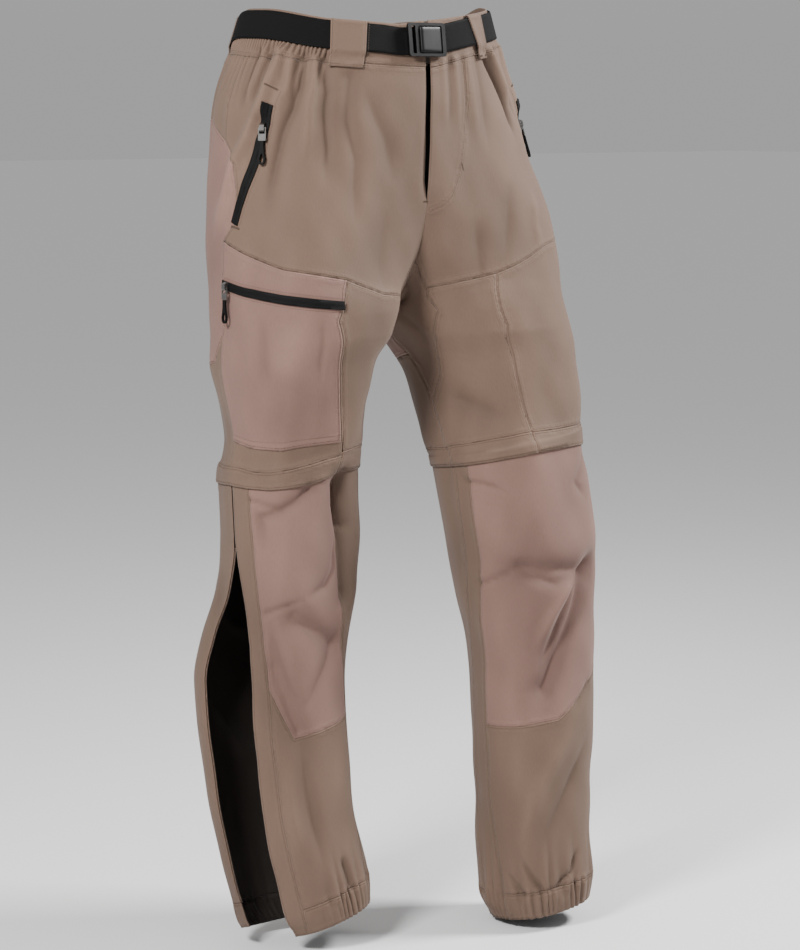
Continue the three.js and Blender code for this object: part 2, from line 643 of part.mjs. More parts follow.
function buildSlider(name, side, turn, row, lift) {
  const frame = seat(side, turn, row, lift);
  const { wide, long, base, bridge, hole, holeLong } = SLIDER;
  const profile = new THREE.Shape();
  profile.moveTo(-long / 2, 0);
  profile.lineTo(long / 2, 0);
  profile.lineTo(long / 2, base);
  profile.lineTo(long / 2 - 2, base + bridge);
  profile.lineTo(2 - long / 2, base + bridge);
  profile.lineTo(-long / 2, base);
  profile.holes.push(roundedRect(0, base + hole / 2, holeLong, hole, 0.3));
  const body = extruded(profile, wide);
  body.translate(0, 0, -wide / 2);
  body.applyMatrix4(new THREE.Matrix4().makeBasis(
    new THREE.Vector3(0, 1, 0), new THREE.Vector3(0, 0, 1), new THREE.Vector3(1, 0, 0)));
  body.applyMatrix4(frame);
  solid(`${name}_slider`, 'steel', body);
  buildPull(name, frame);
}

// The pull's top bar lies in the bridge; the pull and its moulded loop swing about that bar.
function buildPull(name, frame) {
  const { wide, bar, window, thick, long } = PULL;
  const height = SLIDER.base + SLIDER.hole / 2;
  const windowLong = 6.2;
  const tab = ringShape(wide, long, 1.2, [[0, -bar - windowLong / 2, window, windowLong, 0.4]]);
  const plate = extruded(tab, thick);
  plate.translate(0, bar / 2, height - thick / 2);
  plate.applyMatrix4(frame);
  solid(`${name}_pull`, 'steel', plate);
  const loop = new THREE.Shape();
  const reach = LOOP.long;
  const [a, c] = [LOOP.wide / 2, LOOP.cord];
  loop.moveTo(-c, 0);
  loop.quadraticCurveTo(-c, -reach * 0.45, -a, -reach * 0.72);
  loop.quadraticCurveTo(-a, -reach, 0, -reach);
  loop.quadraticCurveTo(a, -reach, a, -reach * 0.72);
  loop.quadraticCurveTo(c, -reach * 0.45, c, 0);
  const eye = new THREE.Path();
  eye.moveTo(0, -reach * 0.5);
  eye.quadraticCurveTo(-a + c, -reach * 0.66, -a + c, -reach * 0.76);
  eye.quadraticCurveTo(-a + c, -reach + c, 0, -reach + c);
  eye.quadraticCurveTo(a - c, -reach + c, a - c, -reach * 0.76);
  eye.quadraticCurveTo(a - c, -reach * 0.66, 0, -reach * 0.5);
  loop.holes.push(eye);
  const cord = extruded(loop, LOOP.thick, 4);
  cord.translate(0, bar / 2 - long - SEAM_GAP, height - LOOP.thick / 2);
  cord.applyMatrix4(frame);
  solid(`${name}_pull_loop`, 'black', cord);
}

// The belt is webbing round the waistband, held by the loops, with a flat buckle in front.
const BELT = { top: -0.84, foot: -0.12, sideTop: -0.93, sideFoot: -0.21, sideTurn: 0.13, lift: 3.6 };

function buildBelt() {
  const { top, foot, sideTop, sideFoot, sideTurn } = BELT;
  const upper = [[0, top], [sideTurn, sideTop], [1, sideTop]];
  const outline = [...upper, [1, sideFoot], [sideTurn, sideFoot], [0, foot]];
  const patches = [RIGHT, LEFT].map((side) => ({ side, outline }));
  cloth('belt', 'black', patches, { shift: () => BELT.lift, wall: BELT_WALL, gap: 0 });
}

const BUCKLE = { wide: 52, tall: 37, thick: 3, bar: 5, rail: 3.2, slot: 5, aside: -11 };

function buildBuckle() {
  const { wide, tall, thick, bar, rail, slot, aside } = BUCKLE;
  const BUCKLE_CLEAR = 0.7;
  const middle = (BELT.top + BELT.foot) / 2;
  const frame = seat(RIGHT, 0, middle, BELT.lift + BELT_WALL / 2 + BUCKLE_CLEAR);
  frame.multiply(new THREE.Matrix4().makeTranslation(aside, 0, 0));
  const inside = tall - 2 * rail;
  const leverWindow = wide - 3 * bar - slot;
  const slotX = -wide / 2 + bar + slot / 2;
  const windowX = wide / 2 - bar - leverWindow / 2;
  const shape = roundedRect(0, 0, wide, tall, 4);
  shape.holes.push(roundedRect(slotX, 0, slot, inside, 1));
  shape.holes.push(roundedRect(windowX, 0, leverWindow, inside, 1.5));
  const body = extruded(shape, thick, 4);
  body.applyMatrix4(frame);
  solid('buckle_frame', 'black', body);
  const clear = 2 * SEAM_GAP;
  const plate = extruded(roundedRect(windowX, 0, leverWindow - clear, inside - clear, 2.5), thick + 1.8, 4);
  plate.applyMatrix4(frame);
  solid('buckle_lever', 'black', plate);
}

// Belt loops leave the waistband top, pass over the belt and are tacked down below it.
const LOOPS = table('name side from to footFrom footTo foot', [
  ['belt_loop_front_r', RIGHT, 0.173, 0.268, 0.168, 0.238, 0.3],
  ['belt_loop_front_l', LEFT, 0.122, 0.192, 0.135, 0.175, 0.12],
  ['belt_loop_back_r', RIGHT, 0.68, 0.74, 0.685, 0.735, 0.3],
  ['belt_loop_back_l', LEFT, 0.68, 0.74, 0.685, 0.735, 0.3],
]);
const LOOP_REST = 1.6 + GATHER_DEPTH;
const LOOP_OVER = BELT.lift + BELT_WALL / 2 + WALL / 2 + 0.4;
const LOOP_ROWS = [-1, -0.945, -0.6, -0.19, 0, 0.12, 0.3];

function loopLift(side, u, v) {
  return LOOP_REST + (LOOP_OVER - LOOP_REST) * smooth(-1, -0.945, v) * (1 - smooth(-0.19, 0, v));
}

function buildLoops() {
  for (const { name, side, from, to, footFrom, footTo, foot } of LOOPS) {
    const outline = [[from, -0.995], [to, -0.995], [footTo, foot], [footFrom, foot]];
    cloth(name, 'taupe', [{ side, outline }], { rows: LOOP_ROWS, shift: loopLift, gap: 0 });
  }
}

buildWaistband();
for (const side of [RIGHT, LEFT]) buildUpper(side);
buildGusset();
for (const side of [RIGHT, LEFT]) buildLower(side);
buildSideZips();
buildFlyGuard();
buildCargoPocket();
buildHandZips();
const HAND_SLIDER = [0.389, 1.44];
const CARGO_SLIDER = [0.498, 4.38];
const SLIDER_LIFT = TAPE_WALL / 2 + 2 * SEAM_GAP;
for (const side of [RIGHT, LEFT]) {
  buildSlider(`hand_zip_${sideName(side)}`, side, ...HAND_SLIDER, HAND_ZIP_LIFT + SLIDER_LIFT);
}
buildSlider('cargo_zip_r', RIGHT, ...CARGO_SLIDER, CARGO_ZIP_LIFT + SLIDER_LIFT);
buildBelt();
buildBuckle();
buildLoops();

export default group;
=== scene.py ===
import math

import bpy
import numpy as np
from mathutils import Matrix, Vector, kdtree
from mathutils.geometry import tessellate_polygon


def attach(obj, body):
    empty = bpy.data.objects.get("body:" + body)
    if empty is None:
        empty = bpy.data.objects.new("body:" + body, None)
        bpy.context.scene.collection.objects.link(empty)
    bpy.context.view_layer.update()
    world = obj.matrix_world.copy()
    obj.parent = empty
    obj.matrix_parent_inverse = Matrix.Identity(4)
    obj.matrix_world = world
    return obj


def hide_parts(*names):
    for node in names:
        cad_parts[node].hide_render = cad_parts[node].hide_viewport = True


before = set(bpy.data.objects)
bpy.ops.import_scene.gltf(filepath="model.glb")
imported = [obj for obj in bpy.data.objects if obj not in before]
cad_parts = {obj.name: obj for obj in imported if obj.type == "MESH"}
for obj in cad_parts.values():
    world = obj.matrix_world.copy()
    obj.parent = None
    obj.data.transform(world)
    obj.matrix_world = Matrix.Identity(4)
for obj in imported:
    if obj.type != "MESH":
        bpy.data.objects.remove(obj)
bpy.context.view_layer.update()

# Zip-off trousers. Sizes are in millimetres until a mesh is made; +Z is up and the front faces -Y.
# A place on the garment is a side, a turn and a row, as on the solids.
MM = 0.001
RIGHT = -1
LEFT = 1
SIDES = (RIGHT, LEFT)
SIDE_NAMES = {RIGHT: "r", LEFT: "l"}
BODY = "trousers"

WAIST_TOP = -1.0
CROTCH = 5.0
HEM = 14.0
CROTCH_Y = -25.0
WAIST_TILT = 0.025
PELVIS_SQUARENESS = 2.15
LEG_SQUARENESS = 2.25
VIEW_ACROSS = (0.79, -0.62)

WALL = 0.9
BAND_WALL = 1.8
TAPE_WALL = 0.8
BELT_WALL = 1.9


def table(columns, rows):
    """Named columns of numbers."""
    values = np.array(rows, float)
    return {name: values[:, i] for i, name in enumerate(columns.split())}


PELVIS = table("row z wide_right wide_left deep mid_y sway_right sway_left rise_right rise_left", [
    [-1, -5, 145, 145, 117, 0, 0, 0, 10, 17],
    [0, -49, 162, 160, 122, 0, 0, 0, 10, 17],
    [1, -103, 186, 179, 127, 2, 0, -6, 6, 10],
    [2, -160, 188, 191, 130, 5, 0, -18, 0, 0],
    [3, -220, 196, 208, 130, 7, -4, -32, 0, 0],
    [4, -282, 201, 216, 126, 8, -12, -42, 0, 0],
    [5, -328, 197, 215, 120, 8, -20, -46, 0, 0],
])
LEG_COLUMNS = "row z mid_x mid_y wide deep tilt"
LEGS = {
    RIGHT: table(LEG_COLUMNS, [
        [-1, 0, -84, 0, 84, 118, 0],
        [3, -220, -98, -10, 98, 124, 0],
        [5, -328, -100, -18, 100, 111, 0],
        [6, -385, -114, -12, 86, 98, 0.05],
        [6.4, -426, -112, -9, 78, 90, 0.07],
        [6.8, -467, -110, -6, 73, 83, 0.09],
        [7, -488, -110, -4, 75, 80, 0.1],
        [8, -517, -113, -3, 75, 79, 0.1],
        [9, -620, -113, -4, 72, 76, 0.05],
        [10, -720, -119, -8, 64, 68, 0.05],
        [11, -820, -121, -18, 61, 64, 0.1],
        [12, -920, -116, -30, 58, 60, 0.2],
        [13, -1000, -105, -42, 55, 57, 0.35],
        [14, -1030, -98, -46, 51, 52, 0.36],
    ]),
    LEFT: table(LEG_COLUMNS, [
        [-1, 0, 84, 0, 84, 118, 0],
        [3, -220, 104, -34, 104, 124, 0],
        [5, -328, 106, -58, 106, 112, 0.05],
        [6, -385, 126, -82, 87, 96, 0.1],
        [7, -478, 132, -94, 84, 86, 0.18],
        [8, -502, 133, -98, 83, 84, 0.18],
        [9, -620, 147, -108, 81, 83, 0.14],
        [10, -720, 154, -114, 71, 72, 0.12],
        [11, -820, 156, -118, 68, 68, 0.12],
        [12, -920, 153, -120, 64, 64, 0.12],
        [13, -1009, 158, -126, 62, 62, 0.16],
        [14, -1041, 162, -127, 56, 56, 0.2],
    ]),
}
FLARE = {"x": -34, "y": 40, "z": 9, "start": 8.6, "full": 10.3, "hinge": 0.83, "edge": 0.46}


def smooth(start, end, x):
    """Soft step from 0 at start to 1 at end."""
    t = np.clip((np.asarray(x, float) - start) / (end - start), 0, 1)
    return t * t * (3 - 2 * t)


def along(rows, row, name):
    """Smooth curve through one column of a table."""
    knots = rows["row"]
    values = rows[name]
    v = np.clip(row, knots[0], knots[-1])
    i = np.clip(np.searchsorted(knots, v, side="left") - 1, 0, len(knots) - 2)
    before = np.maximum(np.arange(len(knots)) - 1, 0)
    after = np.minimum(np.arange(len(knots)) + 1, len(knots) - 1)
    slope = (values[after] - values[before]) / (knots[after] - knots[before])
    h = knots[i + 1] - knots[i]
    t = (v - knots[i]) / h
    t2 = t * t
    t3 = t2 * t
    return ((2 * t3 - 3 * t2 + 1) * values[i] + (t3 - 2 * t2 + t) * slope[i] * h
            + (3 * t2 - 2 * t3) * values[i + 1] + (t3 - t2) * slope[i + 1] * h)


def squared(angle, power):
    """Point of a squared-off circle."""
    c = np.cos(angle)
    s = np.sin(angle)
    r = (np.abs(c) ** power + np.abs(s) ** power) ** (-1 / power)
    return c * r, s * r


def form(side, turn, row):
    """Plain body form, without folds."""
    turn, row = np.broadcast_arrays(np.asarray(turn, float), np.asarray(row, float))
    legs = LEGS[side]
    upper = row < CROTCH
    z = np.where(upper, along(PELVIS, row, "z"), along(legs, row, "z"))
    mid_x = along(legs, row, "mid_x")
    mid_y = along(legs, row, "mid_y")
    wide = along(legs, row, "wide")
    deep = along(legs, row, "deep")
    c, s = squared(2 * math.pi * turn, LEG_SQUARENESS)
    inner = np.cos(math.pi * turn) ** 2
    inner_y = CROTCH_Y + (mid_y - CROTCH_Y) * smooth(CROTCH, CROTCH + 2.5, row)
    leg_x = np.where(upper, side * wide, mid_x) - side * wide * c
    leg_y = mid_y - deep * s + (inner_y - mid_y) * inner
    down = np.clip(row / CROTCH, 0, 1)
    pinch = 1 - np.sqrt(np.maximum(0, 1 - down ** 3))
    split = pinch * inner + smooth(0, 1, down) * (1 - inner)
    split = np.where(upper, split, 1)
    pc, ps = squared(math.pi * turn, PELVIS_SQUARENESS)
    name = "right" if side == RIGHT else "left"
    pelvis_x = side * along(PELVIS, row, "wide_" + name) * ps
    pelvis_y = along(PELVIS, row, "mid_y") - along(PELVIS, row, "deep") * pc
    pelvis_y = pelvis_y + along(PELVIS, row, "sway_" + name) * ps
    rise = np.where(upper, along(PELVIS, row, "rise_" + name) * ps, 0)
    x = (1 - split) * pelvis_x + split * leg_x
    y = (1 - split) * pelvis_y + split * leg_y
    tilt = along(legs, row, "tilt") * smooth(CROTCH, CROTCH + 1, row)
    lift = WAIST_TILT * (1 - smooth(0, CROTCH, row)) * y
    lift = lift + tilt * (VIEW_ACROSS[0] * (x - mid_x) + VIEW_ACROSS[1] * (y - mid_y))
    return np.stack([x, y, z + lift + rise], -1)


SOFT_ROWS = 0.6
SOFT_FADE_ROWS = 0.9
SOFT_LIMIT_ROWS = 1.6
SOFT_STEPS = np.linspace(-1, 1, 9)
WAIST_DIP_MM = 7.5
BACK_DIP_MM = 14.5
BACK_DIP = {RIGHT: (0.55, 0.8), LEFT: (0.4, 0.56)}


def softened(side, turn, row):
    """Body form with dips in the waist's right front and back, and the level of the crotch rounded off."""
    if (np.abs(row - CROTCH) < SOFT_LIMIT_ROWS).any():
        reach = smooth(0.01, 0.09, np.abs(turn - np.round(turn)))
        reach = SOFT_ROWS * (reach * np.exp(-((row - CROTCH) / SOFT_FADE_ROWS) ** 4))
        points = sum(form(side, turn, row + step * reach) for step in SOFT_STEPS) / len(SOFT_STEPS)
    else:
        points = form(side, turn, row)
    front_dip = smooth(0, 0.1, turn) * (1 - smooth(0.24, 0.46, turn)) if side == RIGHT else 0
    back_dip = smooth(*BACK_DIP[side], turn)
    points[..., 2] -= WAIST_DIP_MM * front_dip * (1 - smooth(-0.3, 0.3, row))
    points[..., 2] -= BACK_DIP_MM * back_dip * (1 - smooth(-0.6, 0.9, row))
    return points


def flared(points, turn, row):
    """Swings the back of the right lower leg out at its open side zip."""
    share = smooth(FLARE["start"], FLARE["full"], row) * (1 - smooth(FLARE["edge"], FLARE["hinge"], turn))
    raised = FLARE["z"] * share * smooth(FLARE["full"], HEM, row)
    return points + np.stack([FLARE["x"] * share, FLARE["y"] * share, raised], -1)


TURN_MM = 480

# Folds, listed one by one. Each has a depth, a half width, whether it dies away at its start and at its end,
# and the places that it passes. A depth below zero is a ridge.
FOLDS = {
    RIGHT: [
        (7, 16, 0, 0, [[0.22, 8.15], [0.17, 9.3]]),
        (4, 15, 0, 0, [[0.2, 9.9], [0.34, 9.5]]),
        (4, 14, 0, 0, [[0.4, 10.1], [0.33, 10.8]]),
        (-5.5, 10, 0, 1, [[0.37, 0.05], [0.368, 0.26], [0.384, 0.89], [0.407, 1.31], [0.436, 1.66],
                          [0.468, 2], [0.489, 2.44], [0.517, 2.97], [0.545, 3.58]]),
        (3.6, 7, 0, 1, [[0.309, 0.05], [0.309, 0.24], [0.299, 0.66], [0.312, 1.1], [0.346, 1.54],
                        [0.373, 2.03], [0.393, 2.54], [0.411, 3.29]]),
        (2.8, 8, 0, 1, [[0.255, 0.05], [0.255, 0.24], [0.234, 0.76], [0.242, 1.77], [0.267, 2.53]]),
        (2.0, 9, 0, 1, [[0.19, 0.48], [0.19, 1.26], [0.183, 2.02], [0.204, 3.29]]),
        (1.6, 11, 1, 1, [[0.16, 0.59], [0.109, 1.64], [0.09, 2.55]]),
        (3.6, 5, 0, 1, [[0.448, 0.05], [0.448, 0.2], [0.449, 0.47], [0.455, 0.9], [0.464, 1.2]]),
        (3.2, 5, 0, 1, [[0.407, 0.05], [0.407, 0.19], [0.41, 0.38], [0.415, 0.81], [0.427, 1.19]]),
        (-2.0, 8, 0, 1, [[0.28, 0.1], [0.27, 0.7], [0.278, 1.4], [0.31, 2.2]]),
        (-1.6, 8, 0, 1, [[0.34, 0.05], [0.335, 0.7], [0.365, 1.3]]),
        (-1.6, 7, 0, 1, [[0.43, 0.05], [0.432, 0.5], [0.44, 1.1]]),
        (1.4, 12, 1, 1, [[0.11, 2.9], [0.128, 3.6], [0.15, 4.3], [0.16, 4.8]]),
        (1.6, 6, 1, 1, [[0.43, 5], [0.42, 5.6], [0.4, 6.3]]),
        (1.6, 6, 1, 1, [[0.325, 5], [0.315, 5.6], [0.3, 6.3]]),
        (-1.6, 12, 1, 1, [[0.375, 5.1], [0.36, 6.3]]),
        (3.2, 8, 0, 1, [[0.304, 8.15], [0.337, 8.28], [0.373, 8.36], [0.421, 8.43], [0.418, 8.65],
                        [0.412, 8.85]]),
        (4.5, 7, 0, 1, [[0.204, 8.05], [0.214, 8.38], [0.2, 8.54], [0.156, 8.69]]),
        (2.6, 7, 1, 1, [[0.214, 8.65], [0.222, 9.01], [0.251, 9.19], [0.302, 9.27], [0.322, 9.32]]),
        (2.2, 9, 1, 1, [[0.406, 9.54], [0.39, 9.94], [0.35, 10.39], [0.318, 10.5], [0.287, 10.45]]),
        (1.8, 9, 1, 1, [[0.175, 9.62], [0.225, 10.01], [0.287, 10.45], [0.331, 10.67]]),
        (1.8, 3.4, 0, 1, [[0.416, 9.45], [0.366, 9.38], [0.312, 9.31]]),
        (1.8, 3.4, 0, 1, [[0.448, 8.22], [0.396, 8.31], [0.36, 8.39]]),
        (2.0, 11, 1, 1, [[0.33, 10.95], [0.315, 11.7], [0.3, 12.7]]),
        (-1.8, 10, 1, 1, [[0.375, 11.1], [0.37, 11.7], [0.365, 12.3]]),
        (2.6, 7, 1, 0, [[0.24, 12.4], [0.225, 12.75], [0.22, 13]]),
    ],
    LEFT: [
        (7, 16, 0, 0, [[0.34, 9.2], [0.17, 10.5]]),
        (5, 15, 0, 0, [[0.13, 9.05], [0.33, 9.25]]),
        (1.0, 5, 0, 1, [[0.047, 0.03], [0.045, 0.7], [0.04, 1.6]]),
        (-0.9, 5, 0, 1, [[0.029, 0.03], [0.029, 0.64], [0.026, 1.5]]),
        (-1.1, 5, 0, 1, [[0.065, 0.03], [0.065, 0.66], [0.066, 1.7]]),
        (0.9, 5, 0, 1, [[0.09, 0.03], [0.09, 0.68], [0.096, 1.9]]),
        (-1.0, 6, 0, 1, [[0.108, 0.05], [0.11, 0.7], [0.12, 1.8]]),
        (1.1, 7, 0, 1, [[0.14, 0.1], [0.142, 0.9], [0.15, 2]]),
        (4.5, 6, 0, 1, [[0.185, 0.05], [0.191, 0.21], [0.214, 0.57], [0.24, 1.1], [0.27, 1.7]]),
        (-3.2, 8, 0, 1, [[0.215, 0.05], [0.24, 0.5], [0.27, 1.1]]),
        (3.2, 6, 0, 1, [[0.262, 0.05], [0.275, 0.6], [0.3, 1.4]]),
        (-3.8, 10, 0, 1, [[0.35, 0.05], [0.365, 0.9], [0.4, 1.5], [0.46, 2.1], [0.5, 3]]),
        (3.0, 6, 0, 1, [[0.41, 0.05], [0.415, 0.5], [0.43, 1.1]]),
        (1.8, 12, 1, 1, [[0.107, 3.09], [0.135, 3.96], [0.171, 5.07]]),
        (1.6, 12, 1, 1, [[0.205, 2.4], [0.195, 3.44], [0.192, 4.08]]),
        (-1.6, 8, 1, 1, [[0.296, 2.64], [0.284, 3.29], [0.293, 3.88]]),
        (1.6, 5, 0, 1, [[0, 4.43], [0.057, 5.48], [0.059, 5.8]]),
        (2.4, 13, 1, 1, [[0.044, 6.38], [0.115, 6.55], [0.172, 6.79]]),
        (1.8, 3.4, 0, 1, [[0.033, 8.18], [0.08, 8.23], [0.111, 8.29], [0.128, 8.34]]),
        (1.8, 3.4, 0, 1, [[0.025, 9.19], [0.077, 9.12], [0.121, 9.07], [0.14, 9.06]]),
        (2.2, 7, 1, 1, [[0.12, 8.94], [0.144, 9.11], [0.17, 9.2], [0.211, 9.29], [0.261, 9.27],
                        [0.291, 9.2]]),
        (5, 7, 1, 1, [[0.343, 9.18], [0.275, 9.43], [0.234, 9.69], [0.208, 9.89], [0.177, 10.12],
                      [0.156, 10.34]]),
        (-2.6, 8, 1, 1, [[0.31, 9.1], [0.245, 9.36], [0.2, 9.63], [0.175, 9.85], [0.145, 10.1]]),
        (1.8, 8, 1, 1, [[0.345, 10.51], [0.285, 10.7], [0.245, 10.84]]),
        (2.2, 8, 0, 1, [[0.373, 8.2], [0.308, 8.4], [0.348, 8.6]]),
        (-2.2, 13, 1, 1, [[0.25, 11], [0.17, 11.6], [0.095, 12.4]]),
        (2.0, 11, 1, 1, [[0.32, 11.2], [0.23, 11.9], [0.13, 12.6]]),
        (2.4, 4, 1, 0, [[0.29, 12.5], [0.25, 12.8], [0.19, 13]]),
        (2.4, 4, 1, 0, [[0.1, 12.5], [0.14, 12.85], [0.16, 13]]),
        (2.0, 4, 1, 0, [[0.055, 12.65], [0.08, 12.9], [0.1, 13]]),
    ],
}
# Folds of the hidden back, alike on both sides but not the same.
BACK_FOLDS = [
    (3.0, 9, 0, 1, [[0.955, 4.1], [0.87, 4.6], [0.74, 4.85]]),
    (2.6, 8, 0, 1, [[0.965, 5.3], [0.88, 5.5], [0.76, 5.55]]),
    (2.2, 10, 1, 1, [[0.62, 0.3], [0.61, 1.1], [0.6, 2.4]]),
    (2.0, 8, 0, 1, [[0.71, 0.05], [0.72, 0.8], [0.73, 1.6]]),
    (1.8, 8, 0, 1, [[0.84, 0.05], [0.82, 0.9], [0.84, 1.8]]),
    (2.4, 12, 1, 1, [[0.66, 6], [0.72, 6.8]]),
    (3.4, 8, 1, 1, [[0.6, 8.25], [0.72, 8.5], [0.86, 8.35]]),
    (3.0, 8, 1, 1, [[0.62, 8.75], [0.74, 8.95], [0.88, 8.8]]),
    (2.6, 10, 1, 1, [[0.58, 9.3], [0.68, 9.8], [0.8, 10]]),
    (2.8, 12, 1, 1, [[0.62, 10.6], [0.7, 11.2], [0.8, 11.4]]),
    (2.4, 10, 1, 1, [[0.87, 11.7], [0.77, 12.2], [0.72, 12.7]]),
]
for side, drift in ((RIGHT, 0.012), (LEFT, -0.015)):
    for depth, half, fade_in, fade_out, line in BACK_FOLDS:
        FOLDS[side].append((depth, half, fade_in, fade_out, [[u + drift, v - 4 * drift] for u, v in line]))
FOLD_GAIN = 1.9
FOLD_NARROWING = 0.85
FOLD_REACH = 2.6
VALLEY_POWER = 1.35
RIDGE_POWER = 2
FADE_IN = (-0.05, 0.3)
FADE_OUT = (0.6, 1.02)
SLIDER_SPOT = [0.389, 1.44]
CALM_MM = 13


def fall(side, row):
    """Drop below the waist, which measures the cloth along its length."""
    return -np.where(row < CROTCH, along(PELVIS, row, "z"), along(LEGS[side], row, "z"))


def line_distance(x, y, px, py):
    """Distance from places to a line of several stretches, and the share of its length at the nearest."""
    lengths = np.hypot(np.diff(px), np.diff(py))
    starts = np.concatenate([[0], np.cumsum(lengths)])
    best = np.full(x.shape, 1e9)
    share = np.zeros(x.shape)
    for k, length in enumerate(lengths):
        bx = px[k + 1] - px[k]
        by = py[k + 1] - py[k]
        t = np.clip(((x - px[k]) * bx + (y - py[k]) * by) / (length * length), 0, 1)
        away = np.hypot(x - px[k] - t * bx, y - py[k] - t * by)
        nearer = away < best
        best = np.where(nearer, away, best)
        share = np.where(nearer, (starts[k] + t * length) / starts[-1], share)
    return best, share


def fold_relief(side, turn, row):
    """Height of the listed folds."""
    total = np.zeros(turn.shape)
    y = fall(side, row)
    for depth, wide, fade_in, fade_out, line in FOLDS[side]:
        half = FOLD_NARROWING * wide
        marks = np.array(line, float)
        px = marks[:, 0] * TURN_MM
        py = fall(side, marks[:, 1])
        middle = marks[:, 0].mean()
        x = (turn - np.where(row > CROTCH, np.round(turn - middle), 0)) * TURN_MM
        reach = FOLD_REACH * half
        near = (x > px.min() - reach) & (x < px.max() + reach)
        near &= (y > py.min() - reach) & (y < py.max() + reach)
        if not near.any():
            continue
        away, share = line_distance(x[near], y[near], px, py)
        power = VALLEY_POWER if depth > 0 else RIDGE_POWER
        height = -FOLD_GAIN * depth * np.exp(-(away / half) ** power)
        if fade_in:
            height = height * smooth(*FADE_IN, share)
        if fade_out:
            height = height * (1 - smooth(*FADE_OUT, share))
        total[near] += height
    return total


WAVE_COUNT = 9


def waves(points, seed, length, stretch=1.0):
    """Smooth seeded noise about -1 to 1, with waves of about one length, longer down the garment."""
    rng = np.random.default_rng(seed)
    total = np.zeros(points.shape[:-1])
    scale = np.array([1, 1, stretch])
    for _ in range(WAVE_COUNT):
        direction = rng.normal(size=3)
        direction /= np.linalg.norm(direction)
        size = length * rng.uniform(0.75, 1.5)
        phase = rng.uniform(0, 2 * math.pi)
        total += np.sin(points @ (direction / scale) * (2 * math.pi / size) + phase)
    return total / math.sqrt(WAVE_COUNT)


WAIST_JOIN = {RIGHT: 0.245, LEFT: 0.3}
WAIST_SEAMS = {
    RIGHT: [[0, 0.15], [0.245, 0.17], [0.5, 0.17], [0.7, 0.06], [1, 0]],
    LEFT: [[0, 0.15], [0.12, 0.03], [0.3, 0], [0.5, 0], [1, 0]],
}


def seam_row(side, turn):
    """Row of the waistband seam."""
    marks = np.array(WAIST_SEAMS[side])
    return np.interp(turn, marks[:, 0], marks[:, 1])


BAND_PLEATS = 84
BAND_PLEAT_MM = 1.5
HIP_PLEATS = 44
HIP_PLEAT_MM = 2.4
HEM_PLEATS = 46
HEM_PLEAT_MM = 1.7
HEM_SOFT_PLEATS = 21
HEM_SOFT_PLEAT_MM = 1.6
# The cloth's slow swells: a seed, a length, a stretch down the garment and a height.
SWELLS = ((4, 80, 2.4, 1.7), (9, 34, 1.8, 0.65))


def pleats(phase, valley):
    """Rounded folds with narrower valleys between them."""
    within = phase - np.floor(phase) - 0.5
    return 1 - 2 * np.exp(-(within / valley) ** 2)


def gather_relief(side, turn, row):
    """Small folds held by the elastic of the waistband, and the wider ones that run out below it."""
    join = WAIST_JOIN[side]
    row = row - seam_row(side, turn)
    sewn = smooth(join - 0.004, join + 0.012, turn)
    drift = 0.0045 * np.sin(31 * turn + 2 * side) + 0.0022 * np.sin(83 * turn)
    lean = 0.01 * row * np.sin(9 * turn + side)
    small = pleats(BAND_PLEATS * (turn + drift + 0.4 * lean), 0.2)
    small_share = smooth(-1.02, -0.75, row) * (1 - smooth(-0.2, -0.07, row))
    uneven = 0.62 + 0.38 * np.sin(57 * turn + 4 * side) * np.sin(23 * turn)
    wide = pleats(HIP_PLEATS * (turn + 1.6 * drift + lean), 0.2) * uneven
    wide_share = smooth(-0.05, 0.05, row) * (1 - smooth(0.1, 0.9, row))
    return sewn * (BAND_PLEAT_MM * small * small_share + HIP_PLEAT_MM * wide * wide_share)


def hem_relief(side, turn, row):
    """Folds held by the elastic of the hem."""
    loose = smooth(0.3, 0.36, turn) * (1 - smooth(0.5, 0.56, turn))
    share = 1 - (loose if side == RIGHT else 0.4 * loose)
    drift = 0.007 * np.sin(29 * turn + side) + 0.004 * np.sin(71 * turn)
    uneven = 0.6 + 0.4 * np.sin(43 * turn + 2 * side)
    small = pleats(HEM_PLEATS * (turn + drift), 0.22) * uneven
    wide = pleats(HEM_SOFT_PLEATS * (turn + 1.5 * drift + 0.01 * (row - HEM)), 0.3)
    small_share = smooth(12.84, 13.03, row) * (1 - 0.35 * smooth(13.5, 14, row))
    wide_share = smooth(12.1, 13, row) * (1 - smooth(13, 13.4, row))
    return share * (HEM_PLEAT_MM * small * small_share + HEM_SOFT_PLEAT_MM * wide * wide_share)


def relief(side, turn, row, points):
    """How far the cloth stands out from its plain form."""
    total = fold_relief(side, turn, row) + gather_relief(side, turn, row) + hem_relief(side, turn, row)
    body = smooth(0.3, 1.4, row) * (1 - smooth(13, 13.8, row))
    for seed, length, stretch, height in SWELLS:
        total += body * height * waves(points, seed, length, stretch)
    x = (turn - SLIDER_SPOT[0]) * TURN_MM
    y = fall(side, row) - fall(side, SLIDER_SPOT[1])
    return total * (1 - np.exp(-(np.hypot(x, y) / CALM_MM) ** 4))


TURN_STEP = 0.004
ROW_STEP = 0.04


